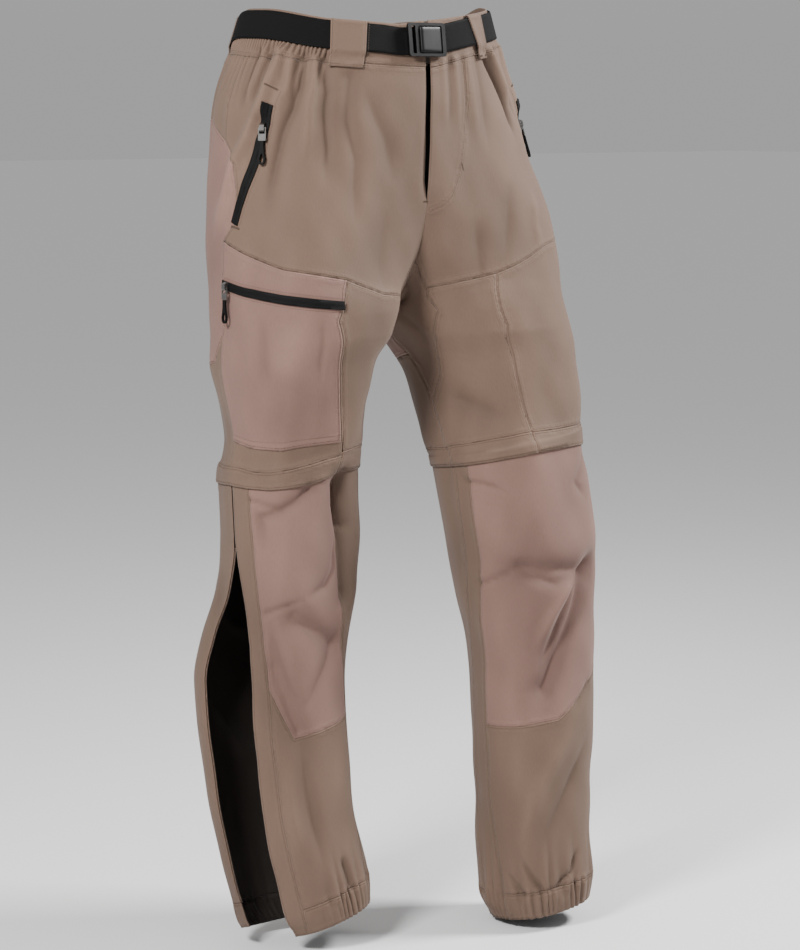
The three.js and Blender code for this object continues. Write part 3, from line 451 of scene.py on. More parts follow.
def surface(side, turn, row, lift=0.0, flare=False, plain=False):
    """Points and outward normals of the creased cloth, raised by lift."""
    turn, row = np.broadcast_arrays(np.asarray(turn, float), np.asarray(row, float))
    row = np.clip(row, WAIST_TOP, HEM)

    def at(t, r):
        r = np.clip(r, WAIST_TOP, HEM)
        points = softened(side, t, r)
        return flared(points, t, r) if flare else points

    across = at(turn + TURN_STEP, row) - at(turn - TURN_STEP, row)
    down = at(turn, row + ROW_STEP) - at(turn, row - ROW_STEP)
    normals = np.cross(down, across) * side
    points = at(turn, row)
    middle = (np.abs(turn - np.round(turn)) < 1e-6) & (row <= CROTCH)
    points[..., 0] = np.where(middle, 0, points[..., 0])
    normals[..., 0] = np.where(middle, 0, normals[..., 0])
    normals /= np.maximum(1e-9, np.linalg.norm(normals, axis=-1, keepdims=True))
    raised = lift + (0 if plain else relief(side, turn, row, points))
    return points + normals * np.asarray(raised)[..., None], normals


# Lines on the cloth
def dense(side, line, step=1.5):
    """Line of places with one every step or so."""
    places = [line[0]]
    for (ua, va), (ub, vb) in zip(line, line[1:]):
        ends = form(side, np.array([ua, ub]), np.array([va, vb]))
        count = max(2, math.ceil(np.linalg.norm(ends[1] - ends[0]) / step))
        places += [(ua + (ub - ua) * k / count, va + (vb - va) * k / count) for k in range(1, count + 1)]
    return np.array(places, float)


BESIDE_STEP_MM = 4
LEAST_MM_PER_TURN = 60
LEAST_MM_PER_ROW = 10


def beside(side, line, offset):
    """Line moved over the cloth: up from a line of rising turn, to greater turn from a falling one."""
    turn, row = dense(side, line, BESIDE_STEP_MM).T
    step = 0.01
    row_in = np.clip(row, WAIST_TOP + step, HEM - step)
    per_turn = np.linalg.norm(form(side, turn + step, row) - form(side, turn - step, row), axis=1)
    per_row = np.linalg.norm(form(side, turn, row_in + step) - form(side, turn, row_in - step), axis=1)
    per_turn = np.maximum(per_turn / (2 * step), LEAST_MM_PER_TURN)
    per_row = np.maximum(per_row / (2 * step), LEAST_MM_PER_ROW)
    along_turn = np.gradient(turn) * per_turn
    along_row = np.gradient(row) * per_row
    length = np.maximum(1e-9, np.hypot(along_turn, along_row))
    turn = turn + offset * along_row / length / per_turn
    row = row - offset * along_turn / length / per_row
    return np.stack([turn, row], 1).tolist()


def level(height):
    """Lift of one height everywhere."""
    return lambda side, turn, row: height + 0 * turn


def evenly(side, line, pitch, lift=level(0), flare=False):
    """Points and normals at even steps along a line on the cloth."""
    turn, row = dense(side, line).T
    points, normals = surface(side, turn, row, lift(side, turn, row), flare)
    gaps = np.linalg.norm(np.diff(points, axis=0), axis=1)
    run = np.concatenate([[0], np.cumsum(gaps)])
    stations = np.arange(0, run[-1], pitch)
    take = [np.interp(stations, run, points[:, i]) for i in range(3)]
    turned = [np.interp(stations, run, normals[:, i]) for i in range(3)]
    return np.stack(take, 1), np.stack(turned, 1)


# Cutting: an outline of turns and rows is cut to fine cells, and each cell becomes faces.
ACROSS = 200
ROW_STEP_MM = 3.4
SAME_TURN = 2e-6
SAME_ROW = 1e-5


def fine_rows():
    """Rows of the fine grid, closer together where the form is shorter."""
    marks = PELVIS["row"].tolist() + LEGS[LEFT]["row"][4:].tolist() + [6.0]
    marks = sorted(set(marks))
    rows = [marks[0]]
    for a, b in zip(marks, marks[1:]):
        heights = form(LEFT, np.array([0.3, 0.3]), np.array([a, b]))[:, 2]
        count = max(1, round(abs(heights[1] - heights[0]) / ROW_STEP_MM))
        rows += [a + (b - a) * (k + 1) / count for k in range(count)]
    return rows


ROWS = fine_rows()


def cut_half(outline, axis, limit, keep_above):
    """Part of an outline on one side of a line."""
    kept = []
    sign = 1 if keep_above else -1
    count = len(outline)
    for i in range(count):
        p = outline[i]
        q = outline[(i + 1) % count]
        p_in = (p[axis] - limit) * sign >= 0
        q_in = (q[axis] - limit) * sign >= 0
        if p_in:
            kept.append(p)
        if p_in != q_in:
            t = (limit - p[axis]) / (q[axis] - p[axis])
            cut = [p[0] + t * (q[0] - p[0]), p[1] + t * (q[1] - p[1])]
            cut[axis] = limit
            kept.append(cut)
    return kept


def differ(p, q):
    """Whether two places on the cloth are apart."""
    return abs(p[0] - q[0]) > SAME_TURN or abs(p[1] - q[1]) > SAME_ROW


def without_repeats(outline):
    """Outline with no two neighbours at one place."""
    kept = []
    for p in outline:
        if not kept or differ(p, kept[-1]):
            kept.append(p)
    while len(kept) > 1 and not differ(kept[0], kept[-1]):
        kept.pop()
    return kept


def signed_area(outline):
    """Area of an outline, with its sign."""
    total = 0
    for i, (u, v) in enumerate(outline):
        u2, v2 = outline[(i + 1) % len(outline)]
        total += u * v2 - u2 * v
    return total / 2


def cells(outline, across, rows):
    """Small polygons of an outline cut to the grid."""
    turns = [p[0] for p in outline]
    first = math.floor(min(turns) * across + 1e-6)
    last = math.ceil(max(turns) * across - 1e-6)
    found = []
    for top, foot in zip(rows, rows[1:]):
        strip = cut_half(cut_half(outline, 1, top, True), 1, foot, False)
        if len(strip) < 3:
            continue
        low = min(p[0] for p in strip)
        high = max(p[0] for p in strip)
        for column in range(first, last):
            a = column / across
            b = (column + 1) / across
            if b <= low or a >= high:
                continue
            cell = without_repeats(cut_half(cut_half(strip, 0, a, True), 0, b, False))
            if len(cell) >= 3 and abs(signed_area(cell)) > 1e-8:
                found.append(cell)
    return found


def mesh_piece(name, points, faces):
    """Smooth mesh in the scene, from points in millimetres."""
    mesh = bpy.data.meshes.new(name)
    mesh.from_pydata((np.asarray(points) * MM).tolist(), [], faces)
    mesh.polygons.foreach_set("use_smooth", [True] * len(mesh.polygons))
    piece = bpy.data.objects.new(name, mesh)
    bpy.context.scene.collection.objects.link(piece)
    return piece


def closed_shell(name, outer, inner, faces):
    """Closed mesh between two skins of the same faces."""
    faces = np.array(faces)
    count = len(outer)
    rim = rim_edges(faces, count)
    walls = [[q, p, p + count, q + count] for p, q in rim.tolist()]
    all_faces = faces.tolist() + (faces[:, ::-1] + count).tolist() + walls
    return mesh_piece(name, np.concatenate([outer, inner]), all_faces)


def rim_edges(faces, count):
    """Directed edges that only one face uses."""
    size = faces.shape[1]
    directed = np.concatenate([faces[:, [k, (k + 1) % size]] for k in range(size)])
    codes = directed[:, 0] * count + directed[:, 1]
    back_codes = directed[:, 1] * count + directed[:, 0]
    return directed[~np.isin(codes, back_codes)]


def dress(piece, slot, *nodes):
    """Gives a piece its body, its slot and material, and the nodes that it stands for."""
    piece.data.materials.append(MATERIALS[slot])
    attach(piece, BODY)
    if nodes:
        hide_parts(*nodes)
    return piece


def add_numbers(piece, name, values):
    """One number for each point of a mesh, for its material."""
    layer = piece.data.attributes.new(name=name, type="FLOAT", domain="POINT")
    layer.data.foreach_set("value", np.asarray(values, float))


def add_cloth_map(piece, spots):
    """Places on the cloth, in metres, for its weave."""
    layer = piece.data.uv_layers.new(name="cloth")
    loops = np.zeros(len(piece.data.loops), int)
    piece.data.loops.foreach_get("vertex_index", loops)
    layer.data.foreach_set("uv", spots[loops].ravel())


FAR_MM = 40.0
# Fold height in millimetres at which the painted shade of a fold's valley, and the painted highlight of its
# ridge, are full.
FOLD_FULL_MM = 5.0


def distances(points, lines):
    """Distance in millimetres from each point to the nearest of the lines' points."""
    if not lines:
        return np.full(len(points), FAR_MM)
    marks = np.concatenate(lines)
    tree = kdtree.KDTree(len(marks))
    for i, mark in enumerate(marks.tolist()):
        tree.insert(mark, i)
    tree.balance()
    return np.array([min(FAR_MM, tree.find(point)[2]) for point in points.tolist()])


FLAT_HEIGHTS = 15
FLAT_LEAST_MM = 11
FLAT_ALLOWANCE = 1.02
FLAT_LEAST_FILL = 0.34


def flat_size(patches, area):
    """Width and length in metres of the cloth that a piece is cut from."""
    widths = []
    rows = [v for _, outline in patches for _, v in outline]
    top, foot = min(rows), max(rows)
    for share in np.linspace(0.02, 0.98, FLAT_HEIGHTS):
        row = top + (foot - top) * share
        width = 0
        for side, outline in patches:
            strip = cut_half(cut_half(outline, 1, row - 0.02, True), 1, row + 0.02, False)
            if len(strip) > 2:
                turns = [p[0] for p in strip]
                across = form(side, np.linspace(min(turns), max(turns), 40), np.full(40, row))
                width += np.linalg.norm(np.diff(across, axis=0), axis=1).sum()
        widths.append(width)
    side, outline = patches[0]
    middle = sum(p[0] for p in outline) / len(outline)
    down = form(side, np.full(60, middle), np.linspace(top, foot, 60))
    length = max(FLAT_LEAST_MM, np.linalg.norm(np.diff(down, axis=0), axis=1).sum())
    width = max(FLAT_LEAST_MM, max(widths), area / length * FLAT_ALLOWANCE)
    widest = area / length / FLAT_LEAST_FILL
    width = min(width, widest) if widest > FLAT_LEAST_MM else width
    return round(width * MM, 3) + 0.001, round(length * MM, 3) + 0.001


KEYS_PER_MM = 50
ROW_MM = 60
ROLL_MM = 0.28
ROLL_SHARE = 0.42
EDGE_STEP_MM = 1.5


def cloth(name, slot, patches, held="hung", rests_on=(), lift=level(0), wall=WALL, across=ACROSS,
          rows=None, flare=False, plain=False, roll=ROLL_MM, sewn=None, inner_side=1):
    """One cut piece. Patches are a side and an outline on it; sewn are lines with a seam or a hem."""
    rows = ROWS if rows is None else rows
    sides, places, polygons = [], [], []
    for side, outline in patches:
        index = {}
        for cell in cells(outline, across, rows):
            polygon = []
            for u, v in cell:
                key = (round(u * 1e6), round(v * 1e5))
                if key not in index:
                    index[key] = len(places)
                    places.append((u, v))
                    sides.append(side)
                polygon.append(index[key])
            polygons.append((side, polygon))
    sides = np.array(sides)
    places = np.array(places)
    mid = np.zeros((len(places), 3))
    normals = np.zeros((len(places), 3))
    for side in SIDES:
        chosen = sides == side
        if chosen.any():
            u, v = places[chosen].T
            mid[chosen], normals[chosen] = surface(side, u, v, lift(side, u, v), flare, plain)
    keys = np.round(mid * KEYS_PER_MM).astype(int)
    _, first, merged = np.unique(keys, axis=0, return_index=True, return_inverse=True)
    merged = merged.ravel()
    faces = []
    for side, polygon in polygons:
        spots = [Vector((places[k][0] * TURN_MM, places[k][1] * ROW_MM, 0)) for k in polygon]
        split = [(0, 1, 2), (0, 2, 3)] if len(polygon) == 4 else tessellate_polygon([spots])
        for a, b, c in split:
            area = (spots[b] - spots[a]).cross(spots[c] - spots[a]).z
            p, q, r = merged[polygon[a]], merged[polygon[b]], merged[polygon[c]]
            if p == q or q == r or r == p or abs(area) < 1e-6:
                continue
            faces.append((p, q, r) if area * side < 0 else (p, r, q))
    faces = np.array(faces)
    mid = mid[first]
    normals = normals[first]
    half = np.full(len(mid), wall / 2)
    half[rim_edges(faces, len(mid)).ravel()] -= min(roll, ROLL_SHARE * wall)
    inner_half = wall / 2 if wall < BAND_WALL else half[:, None]
    piece = closed_shell(name + "_cloth", mid + normals * half[:, None], mid - normals * inner_half, faces)
    spots = places[first] * [TURN_MM * MM, 0]
    drops = np.zeros(len(mid))
    # Each point keeps its fold height, for painted shade in fold valleys and painted highlight on fold
    # ridges.
    painted_fold_height = np.zeros(len(mid))
    for side in SIDES:
        chosen = sides[first] == side
        u, v = places[first][chosen].T
        drops[chosen] = -fall(side, v) * MM
        if len(u) and not plain:
            painted_fold_height[chosen] = relief(side, u, v, mid[chosen])
    spots[:, 0] *= sides[first]
    spots[:, 1] = drops
    add_cloth_map(piece, np.concatenate([spots, spots]))
    if sewn is None:
        sewn = [(side, list(outline) + [outline[0]]) for side, outline in patches]
    lines = [evenly(side, line, EDGE_STEP_MM, lift, flare)[0] for side, line in sewn]
    edge = distances(mid, lines) * MM
    add_numbers(piece, "edge", np.concatenate([edge, edge]))
    add_numbers(piece, "painted_fold_shade", np.concatenate([painted_fold_height, painted_fold_height]) / FOLD_FULL_MM)
    # The inner skin is marked for painted shade of the inside of the garment.
    add_numbers(piece, "inner", np.concatenate([0 * edge, 0 * edge + inner_side]))
    dress(piece, slot, name)
    corner_a, corner_b, corner_c = (mid[faces[:, k]] for k in range(3))
    area = np.linalg.norm(np.cross(corner_b - corner_a, corner_c - corner_a), axis=1).sum() / 2
    flat = flat_size(patches, area)
    return piece


ROD_STATIONS = (0.0, 0.14, 0.86, 1.0)
ROD_SWELL = (0.45, 1.0, 1.0, 0.45)
ROD_SIDES = 5


def rods(name, slot, starts, ends, ups, radius, flatness=1.0):
    """Many short rods with rounded ends in one piece, such as stitches or zip teeth."""
    starts, ends, ups = (np.asarray(a, float) for a in (starts, ends, ups))
    line = ends - starts
    unit = line / np.maximum(1e-9, np.linalg.norm(line, axis=1, keepdims=True))
    across = np.cross(unit, ups)
    across /= np.maximum(1e-9, np.linalg.norm(across, axis=1, keepdims=True))
    up = np.cross(across, unit)
    rings = []
    for t, swell in zip(ROD_STATIONS, ROD_SWELL):
        for k in range(ROD_SIDES):
            angle = 2 * math.pi * k / ROD_SIDES
            out = math.cos(angle) * across + math.sin(angle) * flatness * up
            rings.append(starts + line * t + out * radius * swell)
    points = np.stack(rings, 1).reshape(-1, 3)
    each = len(ROD_STATIONS) * ROD_SIDES
    pattern = [list(range(ROD_SIDES))[::-1], list(range(each - ROD_SIDES, each))]
    for ring in range(len(ROD_STATIONS) - 1):
        for k in range(ROD_SIDES):
            a = ring * ROD_SIDES + k
            b = ring * ROD_SIDES + (k + 1) % ROD_SIDES
            pattern.append([a, b, b + ROD_SIDES, a + ROD_SIDES])
    faces = [[i + each * n for i in face] for n in range(len(starts)) for face in pattern]
    return dress(mesh_piece(name, points, faces), slot)


# Stitching is gathered by group, and each group becomes one piece.
STITCH_PITCH = 3.0
STITCH_LONG = 2.2
THREAD_RADIUS = 0.2
THREAD_STEP_MM = 0.4
TACK_STEP_MM = 0.5
TACK_LEAN_MM = 0.35
stitches = {}


def add_threads(group, starts, ends, ups):
    """Keeps some threads for the piece of their group."""
    for kept, found in zip(stitches.setdefault(group, [[], [], []]), (starts, ends, ups)):
        kept.append(found)


def stitch(group, side, line, offset=0.0, lift=level(0), flare=False, wall=WALL, pitch=STITCH_PITCH):
    """A row of stitches along a line on the cloth, or beside it."""
    if offset:
        line = beside(side, line, offset)
    points, normals = evenly(side, line, THREAD_STEP_MM, lift, flare)
    hold = max(2, round(pitch / THREAD_STEP_MM))
    length = max(1, round(pitch * STITCH_LONG / STITCH_PITCH / THREAD_STEP_MM))
    starts = np.arange(0, len(points) - length, hold)
    if len(starts):
        raised = points + normals * (wall / 2 + 0.5 * THREAD_RADIUS)
        add_threads(group, raised[starts], raised[starts + length], normals[starts])


def stitch_lines(group, side, lines, **settings):
    """Rows of stitches, each beside its line by its own offset."""
    for line, offset in lines:
        stitch(group, side, line, offset, **settings)


def tack(group, side, start, end, width=2.2, lift=level(0), wall=WALL):
    """A bar tack: threads laid close together across a short line."""
    points, normals = evenly(side, [start, end], TACK_STEP_MM, lift)
    line = points[-1] - points[0]
    line = line / max(1e-9, np.linalg.norm(line))
    across = np.cross(normals, line) * width / 2
    lean = line * TACK_LEAN_MM
    raised = points + normals * (wall / 2 + 0.8 * THREAD_RADIUS)
    add_threads(group, raised - across - lean, raised + across + lean, normals)


def sew_all():
    for group, (starts, ends, ups) in stitches.items():
        rods("thread_" + group, "taupe_cloth", np.concatenate(starts), np.concatenate(ends),
             np.concatenate(ups), THREAD_RADIUS, 0.8).data.materials[0] = MATERIALS["thread"]


TOOTH_PITCH = 1.5
TOOTH_LONG = 1.9
TOOTH_RADIUS = 0.5


def zip_teeth(name, slot, side, line, lift, flare=False, apart=0.75):
    """Coil teeth along a line, in two rows, or in one where apart is 0."""
    starts, ends, ups = [], [], []
    points, normals = evenly(side, line, TOOTH_PITCH / 2, level(lift), flare)
    way = np.gradient(points, axis=0)
    way /= np.linalg.norm(way, axis=1, keepdims=True)
    across = np.cross(normals, way)
    for first, hand in ((0, -1), (1, 1)) if apart else ((0, 0),):
        at = points[first::2] + across[first::2] * apart * hand
        starts.append(at - across[first::2] * TOOTH_LONG / 2)
        ends.append(at + across[first::2] * TOOTH_LONG / 2)
        ups.append(normals[first::2])
    return rods(name, slot, *(np.concatenate(found) for found in (starts, ends, ups)), TOOTH_RADIUS)


# Materials
class Shading:
    """Builds one procedural material."""

    def __init__(self, name):
        self.material = bpy.data.materials.new(name)
        self.material.use_nodes = True
        self.tree = self.material.node_tree
        self.shader = self.tree.nodes["Principled BSDF"]

    def make(self, kind, inputs=None, **settings):
        """A node with some settings, whose inputs are numbers or other nodes' outputs."""
        node = self.tree.nodes.new(kind)
        for key, value in settings.items():
            setattr(node, key, value)
        for name, value in (inputs or {}).items():
            self.give(node.inputs[name], value)
        return node

    def give(self, socket, value):
        if isinstance(value, bpy.types.NodeSocket):
            self.tree.links.new(value, socket)
        else:
            socket.default_value = value

    def math(self, operation, a, b=0.0):
        node = self.make("ShaderNodeMath", operation=operation)
        self.give(node.inputs[0], a)
        self.give(node.inputs[1], b)
        return node.outputs[0]

    def weighed(self, *parts):
        """Sum of values, each with its share."""
        total = None
        for value, share in parts:
            part = self.math("MULTIPLY", value, share)
            total = part if total is None else self.math("ADD", total, part)
        return total

    def spots(self):
        """Places on the cloth, in metres."""
        return self.make("ShaderNodeUVMap", uv_map="cloth").outputs["UV"]

    def place(self):
        return self.make("ShaderNodeTexCoord").outputs["Object"]

    def number(self, name):
        """One of the numbers that each point of the cloth has."""
        return self.make("ShaderNodeAttribute", attribute_name=name).outputs["Fac"]

    def ranged(self, value, low, high, first=0.0, last=1.0):
        """Value that goes from first to last between two limits."""
        return self.make("ShaderNodeMapRange", {
            "Value": value, "From Min": low, "From Max": high, "To Min": first, "To Max": last,
        }).outputs[0]

    def noise(self, vector, scale, detail=2.0):
        node = self.make("ShaderNodeTexNoise", {"Vector": vector, "Scale": scale, "Detail": detail})
        return node.outputs["Fac"]

    def waves(self, vector, direction, period, distortion=0.0):
        """Even stripes with a period in metres."""
        node = self.make("ShaderNodeTexWave", {
            "Vector": vector, "Scale": math.pi / 10 / period, "Distortion": distortion,
        }, bands_direction=direction)
        return node.outputs["Fac"]

    def ramp(self, value, stops):
        """Curve of grey values through stops of place and value."""
        node = self.make("ShaderNodeValToRGB", {"Fac": value})
        points = node.color_ramp.elements
        while len(points) < len(stops):
            points.new(0.5)
        for point, (place, grey) in zip(points, stops):
            point.position = place
            point.color = (grey, grey, grey, 1)
        return node.outputs["Color"]

    def mixed(self, share, first, second, blend_type="MIX"):
        """Mix of two colours."""
        node = self.make("ShaderNodeMix", data_type="RGBA", blend_type=blend_type)
        self.give(node.inputs[0], share)
        self.give(node.inputs[6], first)
        self.give(node.inputs[7], second)
        return node.outputs[2]

    def tint(self, share, dark, light):
        """Colour between two shades."""
        return self.mixed(share, (*dark, 1), (*light, 1))

    def bump(self, height, distance, strength, below=None):
        inputs = {"Height": height, "Distance": distance, "Strength": strength}
        if below is not None:
            inputs["Normal"] = below
        return self.make("ShaderNodeBump", inputs).outputs["Normal"]

    def finish(self, **inputs):
        for name, value in inputs.items():
            self.give(self.shader.inputs[name.replace("_", " ")], value)
        return self.material


def scaled(colour, share):
    return tuple(min(1.0, c * share) for c in colour)


# Inner faces of the cloth are painted dark: painted shade of the inside of the garment.
INNER_SHADE = 0.08
# Painted shade in the valleys of folds, and painted highlight on their ridges, as shares of the colour.
FOLD_SHADE = 0.27
RIDGE_LIGHT = 0.35 * FOLD_SHADE
# Seam profile by distance from the seam, for its bump and for painted shade in the seam groove and along the
# stitch line, with painted highlight on the bands between.
SEAM_GROOVE_AND_SHADE_STOPS = [(0, 0.4), (0.05, 0.7), (0.16, 0.8), (0.25, 0.46), (0.34, 0.78), (0.58, 0.72),
              (0.74, 0.5), (1, 0.5)]


def cloth_material(name, colour, roughness=0.78):
    """Fine woven cloth with a soft hand, seams that draw in, and slight wear on its edges; painted shade in
    seam grooves, fold valleys and on the inner face, and painted highlight beside seams and on fold ridges.
    """
    s = Shading(name)
    spots = s.spots()
    place = s.place()
    edge = s.number("edge")
    weave = s.weighed((s.waves(spots, "X", 0.0009, 1.2), 0.5), (s.waves(spots, "Y", 0.0008, 1.2), 0.5))
    slub = s.make("ShaderNodeMapping", {"Vector": spots, "Scale": (1, 0.16, 1)}).outputs[0]
    yarn = s.noise(slub, 900)
    # The seam profile also paints shade into the seam groove and highlight beside it.
    seam = s.ramp(s.math("MULTIPLY", edge, 100), SEAM_GROOVE_AND_SHADE_STOPS)
    near = s.math("SUBTRACT", 1, s.ranged(edge, 0.001, 0.011))
    pucker = s.math("MULTIPLY", s.noise(place, 190, 1), near)
    shade = s.weighed((s.noise(place, 9, 3), 0.35), (yarn, 0.5), (weave, 0.1), (seam, 0.25))
    rub = s.math("MULTIPLY", s.noise(place, 160), 0.25)
    worn = s.math("MULTIPLY", s.math("LESS_THAN", edge, 0.0012), rub)
    face = s.tint(s.math("ADD", shade, worn), scaled(colour, 0.76), scaled(colour, 1.24))
    # Painted shade in fold valleys and painted highlight on fold ridges, from each point's fold height.
    painted_fold_shade = s.ranged(s.number("painted_fold_shade"), -1, 0.8, 1 - FOLD_SHADE, 1 + RIDGE_LIGHT)
    face = s.mixed(1, face, painted_fold_shade, blend_type="MULTIPLY")
    # The inner face gets painted shade, for the shade inside the garment.
    colour_out = s.mixed(s.number("inner"), face, (*scaled(colour, INNER_SHADE), 1))
    normal = s.bump(weave, 0.00012, 0.5)
    normal = s.bump(yarn, 0.0002, 0.4, normal)
    normal = s.bump(s.noise(place, 55, 3), 0.0012, 0.3, normal)
    normal = s.bump(pucker, 0.0016, 0.6, normal)
    normal = s.bump(seam, 0.0012, 0.7, normal)
    rough = s.math("ADD", roughness - 0.08, s.math("MULTIPLY", yarn, 0.16))
    return s.finish(Base_Color=colour_out, Roughness=rough, Normal=normal, Sheen_Weight=0.06,
                    Sheen_Roughness=0.5, Specular_IOR_Level=0.2)


def tape_material(name, colour):
    """Zip tape: fine twill."""
    s = Shading(name)
    twill = s.waves(s.spots(), "DIAGONAL", 0.0011, 0.4)
    soft = s.noise(s.place(), 40)
    shade = s.weighed((twill, 0.4), (soft, 0.6))
    normal = s.bump(twill, 0.0003, 0.6)
    return s.finish(Base_Color=s.tint(shade, scaled(colour, 0.6), scaled(colour, 1.5)),
                    Roughness=s.math("ADD", 0.6, s.math("MULTIPLY", soft, 0.15)), Normal=normal,
                    Specular_IOR_Level=0.12)


def webbing_material(name, colour):
    """Belt webbing: ribs across the belt, with smooth bound edges."""
    s = Shading(name)
    spots = s.spots()
    ribs = s.weighed((s.waves(spots, "X", 0.0013, 0.5), 0.7), (s.waves(spots, "Y", 0.001, 0.8), 0.3))
    ribs = s.math("MULTIPLY", ribs, s.ranged(s.number("edge"), 0.0015, 0.0025))
    fuzz = s.noise(s.place(), 700, 3)
    shade = s.weighed((ribs, 0.5), (fuzz, 0.5))
    normal = s.bump(ribs, 0.0005, 0.7)
    normal = s.bump(fuzz, 0.0002, 0.4, normal)
    return s.finish(Base_Color=s.tint(shade, scaled(colour, 0.6), scaled(colour, 1.5)),
                    Roughness=s.math("ADD", 0.62, s.math("MULTIPLY", fuzz, 0.2)), Normal=normal,
                    Specular_IOR_Level=0.09)


def hard_material(name, colour, roughness, metal=0.0, grain=900, relief_mm=0.05, level=0.3):
    """Moulded or cast part with a fine grain, rubbed smoother in places."""
    s = Shading(name)
    place = s.place()
    fine = s.noise(place, grain, 3)
    rub = s.noise(place, 60, 3)
    colour_out = s.tint(rub, scaled(colour, 0.8), scaled(colour, 1.25))
    rough = s.math("ADD", roughness - 0.1, s.math("MULTIPLY", rub, 0.2))
    return s.finish(Base_Color=colour_out, Roughness=rough, Metallic=metal,
                    Normal=s.bump(fine, relief_mm * MM, 0.5), Specular_IOR_Level=level)


TAUPE = (0.115, 0.0735, 0.053)
ROSE = (0.162, 0.0945, 0.0765)
BLACK = (0.0032, 0.0031, 0.0031)
MATERIALS = {
    "taupe_cloth": cloth_material("taupe_cloth", TAUPE),
    "rose_cloth": cloth_material("rose_cloth", ROSE),
    "thread": hard_material("thread", scaled(TAUPE, 0.66), 0.7, grain=2500),
    "zip_tape": tape_material("zip_tape", BLACK),
    "belt_webbing": webbing_material("belt_webbing", BLACK),
    "buckle_plastic": hard_material("buckle_plastic", scaled(BLACK, 0.6), 0.4, level=0.16),
    "zip_metal": hard_material("zip_metal", (0.24, 0.23, 0.22), 0.34, metal=1.0, relief_mm=0.02),
    "puller_rubber": hard_material("puller_rubber", scaled(BLACK, 0.6), 0.6, level=0.15),
}

# Seams, as short lists of turn and row, shared by the pieces on both sides of them.
GUSSET_FRONT = [[0, 3.9], [0.025, 4.3], [0.05, 4.55], [0.065, 4.72], [0.092, 5.05], [0.08, 5.6],
                [0.045, 6.18], [0, 6.45]]
GUSSET_BACK = [[1, 4.4], [0.98, 4.8], [0.972, 5.1], [0.978, 5.6], [0.986, 5.9], [1, 6.45]]
YOKES = {
    RIGHT: [[0.065, 4.72], [0.17, 4.58], [0.255, 4.19], [0.385, 3.95], [0.512, 3.48]],
    LEFT: [[0.05, 4.55], [0.175, 4.18], [0.305, 3.64], [0.4, 3.52], [0.512, 3.48]],
}
THIGH_SEAMS = {
    RIGHT: [[0.255, 4.19], [0.265, 4.46], [0.288, 5.12], [0.268, 5.77], [0.25, 6.32], [0.236, 6.78],
            [0.225, 7]],
    LEFT: [[0.175, 4.18], [0.192, 4.75], [0.206, 5.41], [0.196, 5.84], [0.19, 6.21], [0.192, 6.6], [0.2, 7]],
}
SIDE_UPPER = [[0.5, 0], [0.51, 1.3], [0.517, 1.68]]
SIDE_HIP = [[0.517, 1.68], [0.465, 2.1]]
SIDE_POCKET = [[0.465, 2.1], [0.48, 3.2], [0.512, 3.48]]
SIDE_SEAT = [[0.512, 3.48], [0.52, 4.6], [0.522, 5.5]]
SIDE_THIGH = [[0.522, 5.5], [0.52, 6.3], [0.51, 7]]
SEAT_TOP = [[0.517, 1.68], [0.595, 1.35], [0.8, 1.25], [1, 1.2]]
SEAT_FOOT = [[0.522, 5.5], [0.552, 5.98], [0.7, 6.15], [0.85, 6.05], [0.986, 5.9]]
KNEE_TOP = 7.78
CASING_TOP = 13
STRIP_FRONT = [[0.448, KNEE_TOP], [0.443, 8.55], [0.43, 9.43], [0.417, 10.12], [0.413, 10.33],
               [0.405, 11.08], [0.398, 11.98], [0.394, 13], [0.4, 14]]
ZIP_EDGE = [[0.503, KNEE_TOP], [0.503, 8.68], [0.492, 9.05], [0.48, 9.45], [0.468, 9.85],
            [0.467, 10.53], [0.463, 11.5], [0.463, 12.33], [0.46, 13], [0.455, 14]]
ZIP_GAP_TURN = 0.005
INNER_FRONT = {
    RIGHT: [[0.212, KNEE_TOP], [0.212, 8.1], [0.185, 9.4], [0.133, 10.75], [0.13, 13], [0.14, 14]],
    LEFT: [[0.048, KNEE_TOP], [0.048, 8.28], [0.04, 8.93], [0.013, 9.65], [-0.003, 10.9],
           [0.005, 11.78], [0.033, 13], [0.045, 14]],
}
INNER_BACK = {
    RIGHT: [[0.1, KNEE_TOP], [0.1, 8.1], [0.09, 9.4], [0.04, 10.75], [0.035, 13], [0.04, 14]],
    LEFT: [[0.004, KNEE_TOP], [0.004, 8.28], [-0.012, 8.93], [-0.057, 9.93], [-0.075, 10.65],
           [-0.08, 11.85], [-0.06, 13], [-0.05, 14]],
}
KNEE_FOOT = {
    RIGHT: [[0.133, 10.75], [0.343, 10.9], [0.413, 10.33]],
    LEFT: [[-0.003, 10.9], [0.103, 10.9], [0.208, 10.88], [0.348, 10.5], [0.413, 10.33]],
}


def back(seam):
    """Seam read from its end."""
    return seam[::-1]


def shifted(seam, turn):
    """Seam moved round the garment."""
    return [[u + turn, v] for u, v in seam]


def between(seam, start, end):
    """Stretch of a seam between two rows."""
    def at(row):
        for (ua, va), (ub, vb) in zip(seam, seam[1:]):
            if row <= vb + 1e-9:
                return [ua + (ub - ua) * (row - va) / (vb - va), row]
        return list(seam[-1])
    return [at(start)] + [p for p in seam if start + 1e-6 < p[1] < end - 1e-6] + [at(end)]


def between_turns(seam, start, stop):
    """Stretch of a seam of rising turn between two turns."""
    turns, rows = np.array(seam).T
    first, last = np.interp([start, stop], turns, rows).tolist()
    middle = [[u, v] for u, v in seam if start + 1e-6 < u < stop - 1e-6]
    return [[start, first]] + middle + [[stop, last]]


def outline_of(*seams):
    """Closed outline from seams laid end to end."""
    return without_repeats([p for seam in seams for p in seam])


def name_of(piece, side):
    return piece + "_" + SIDE_NAMES[side]


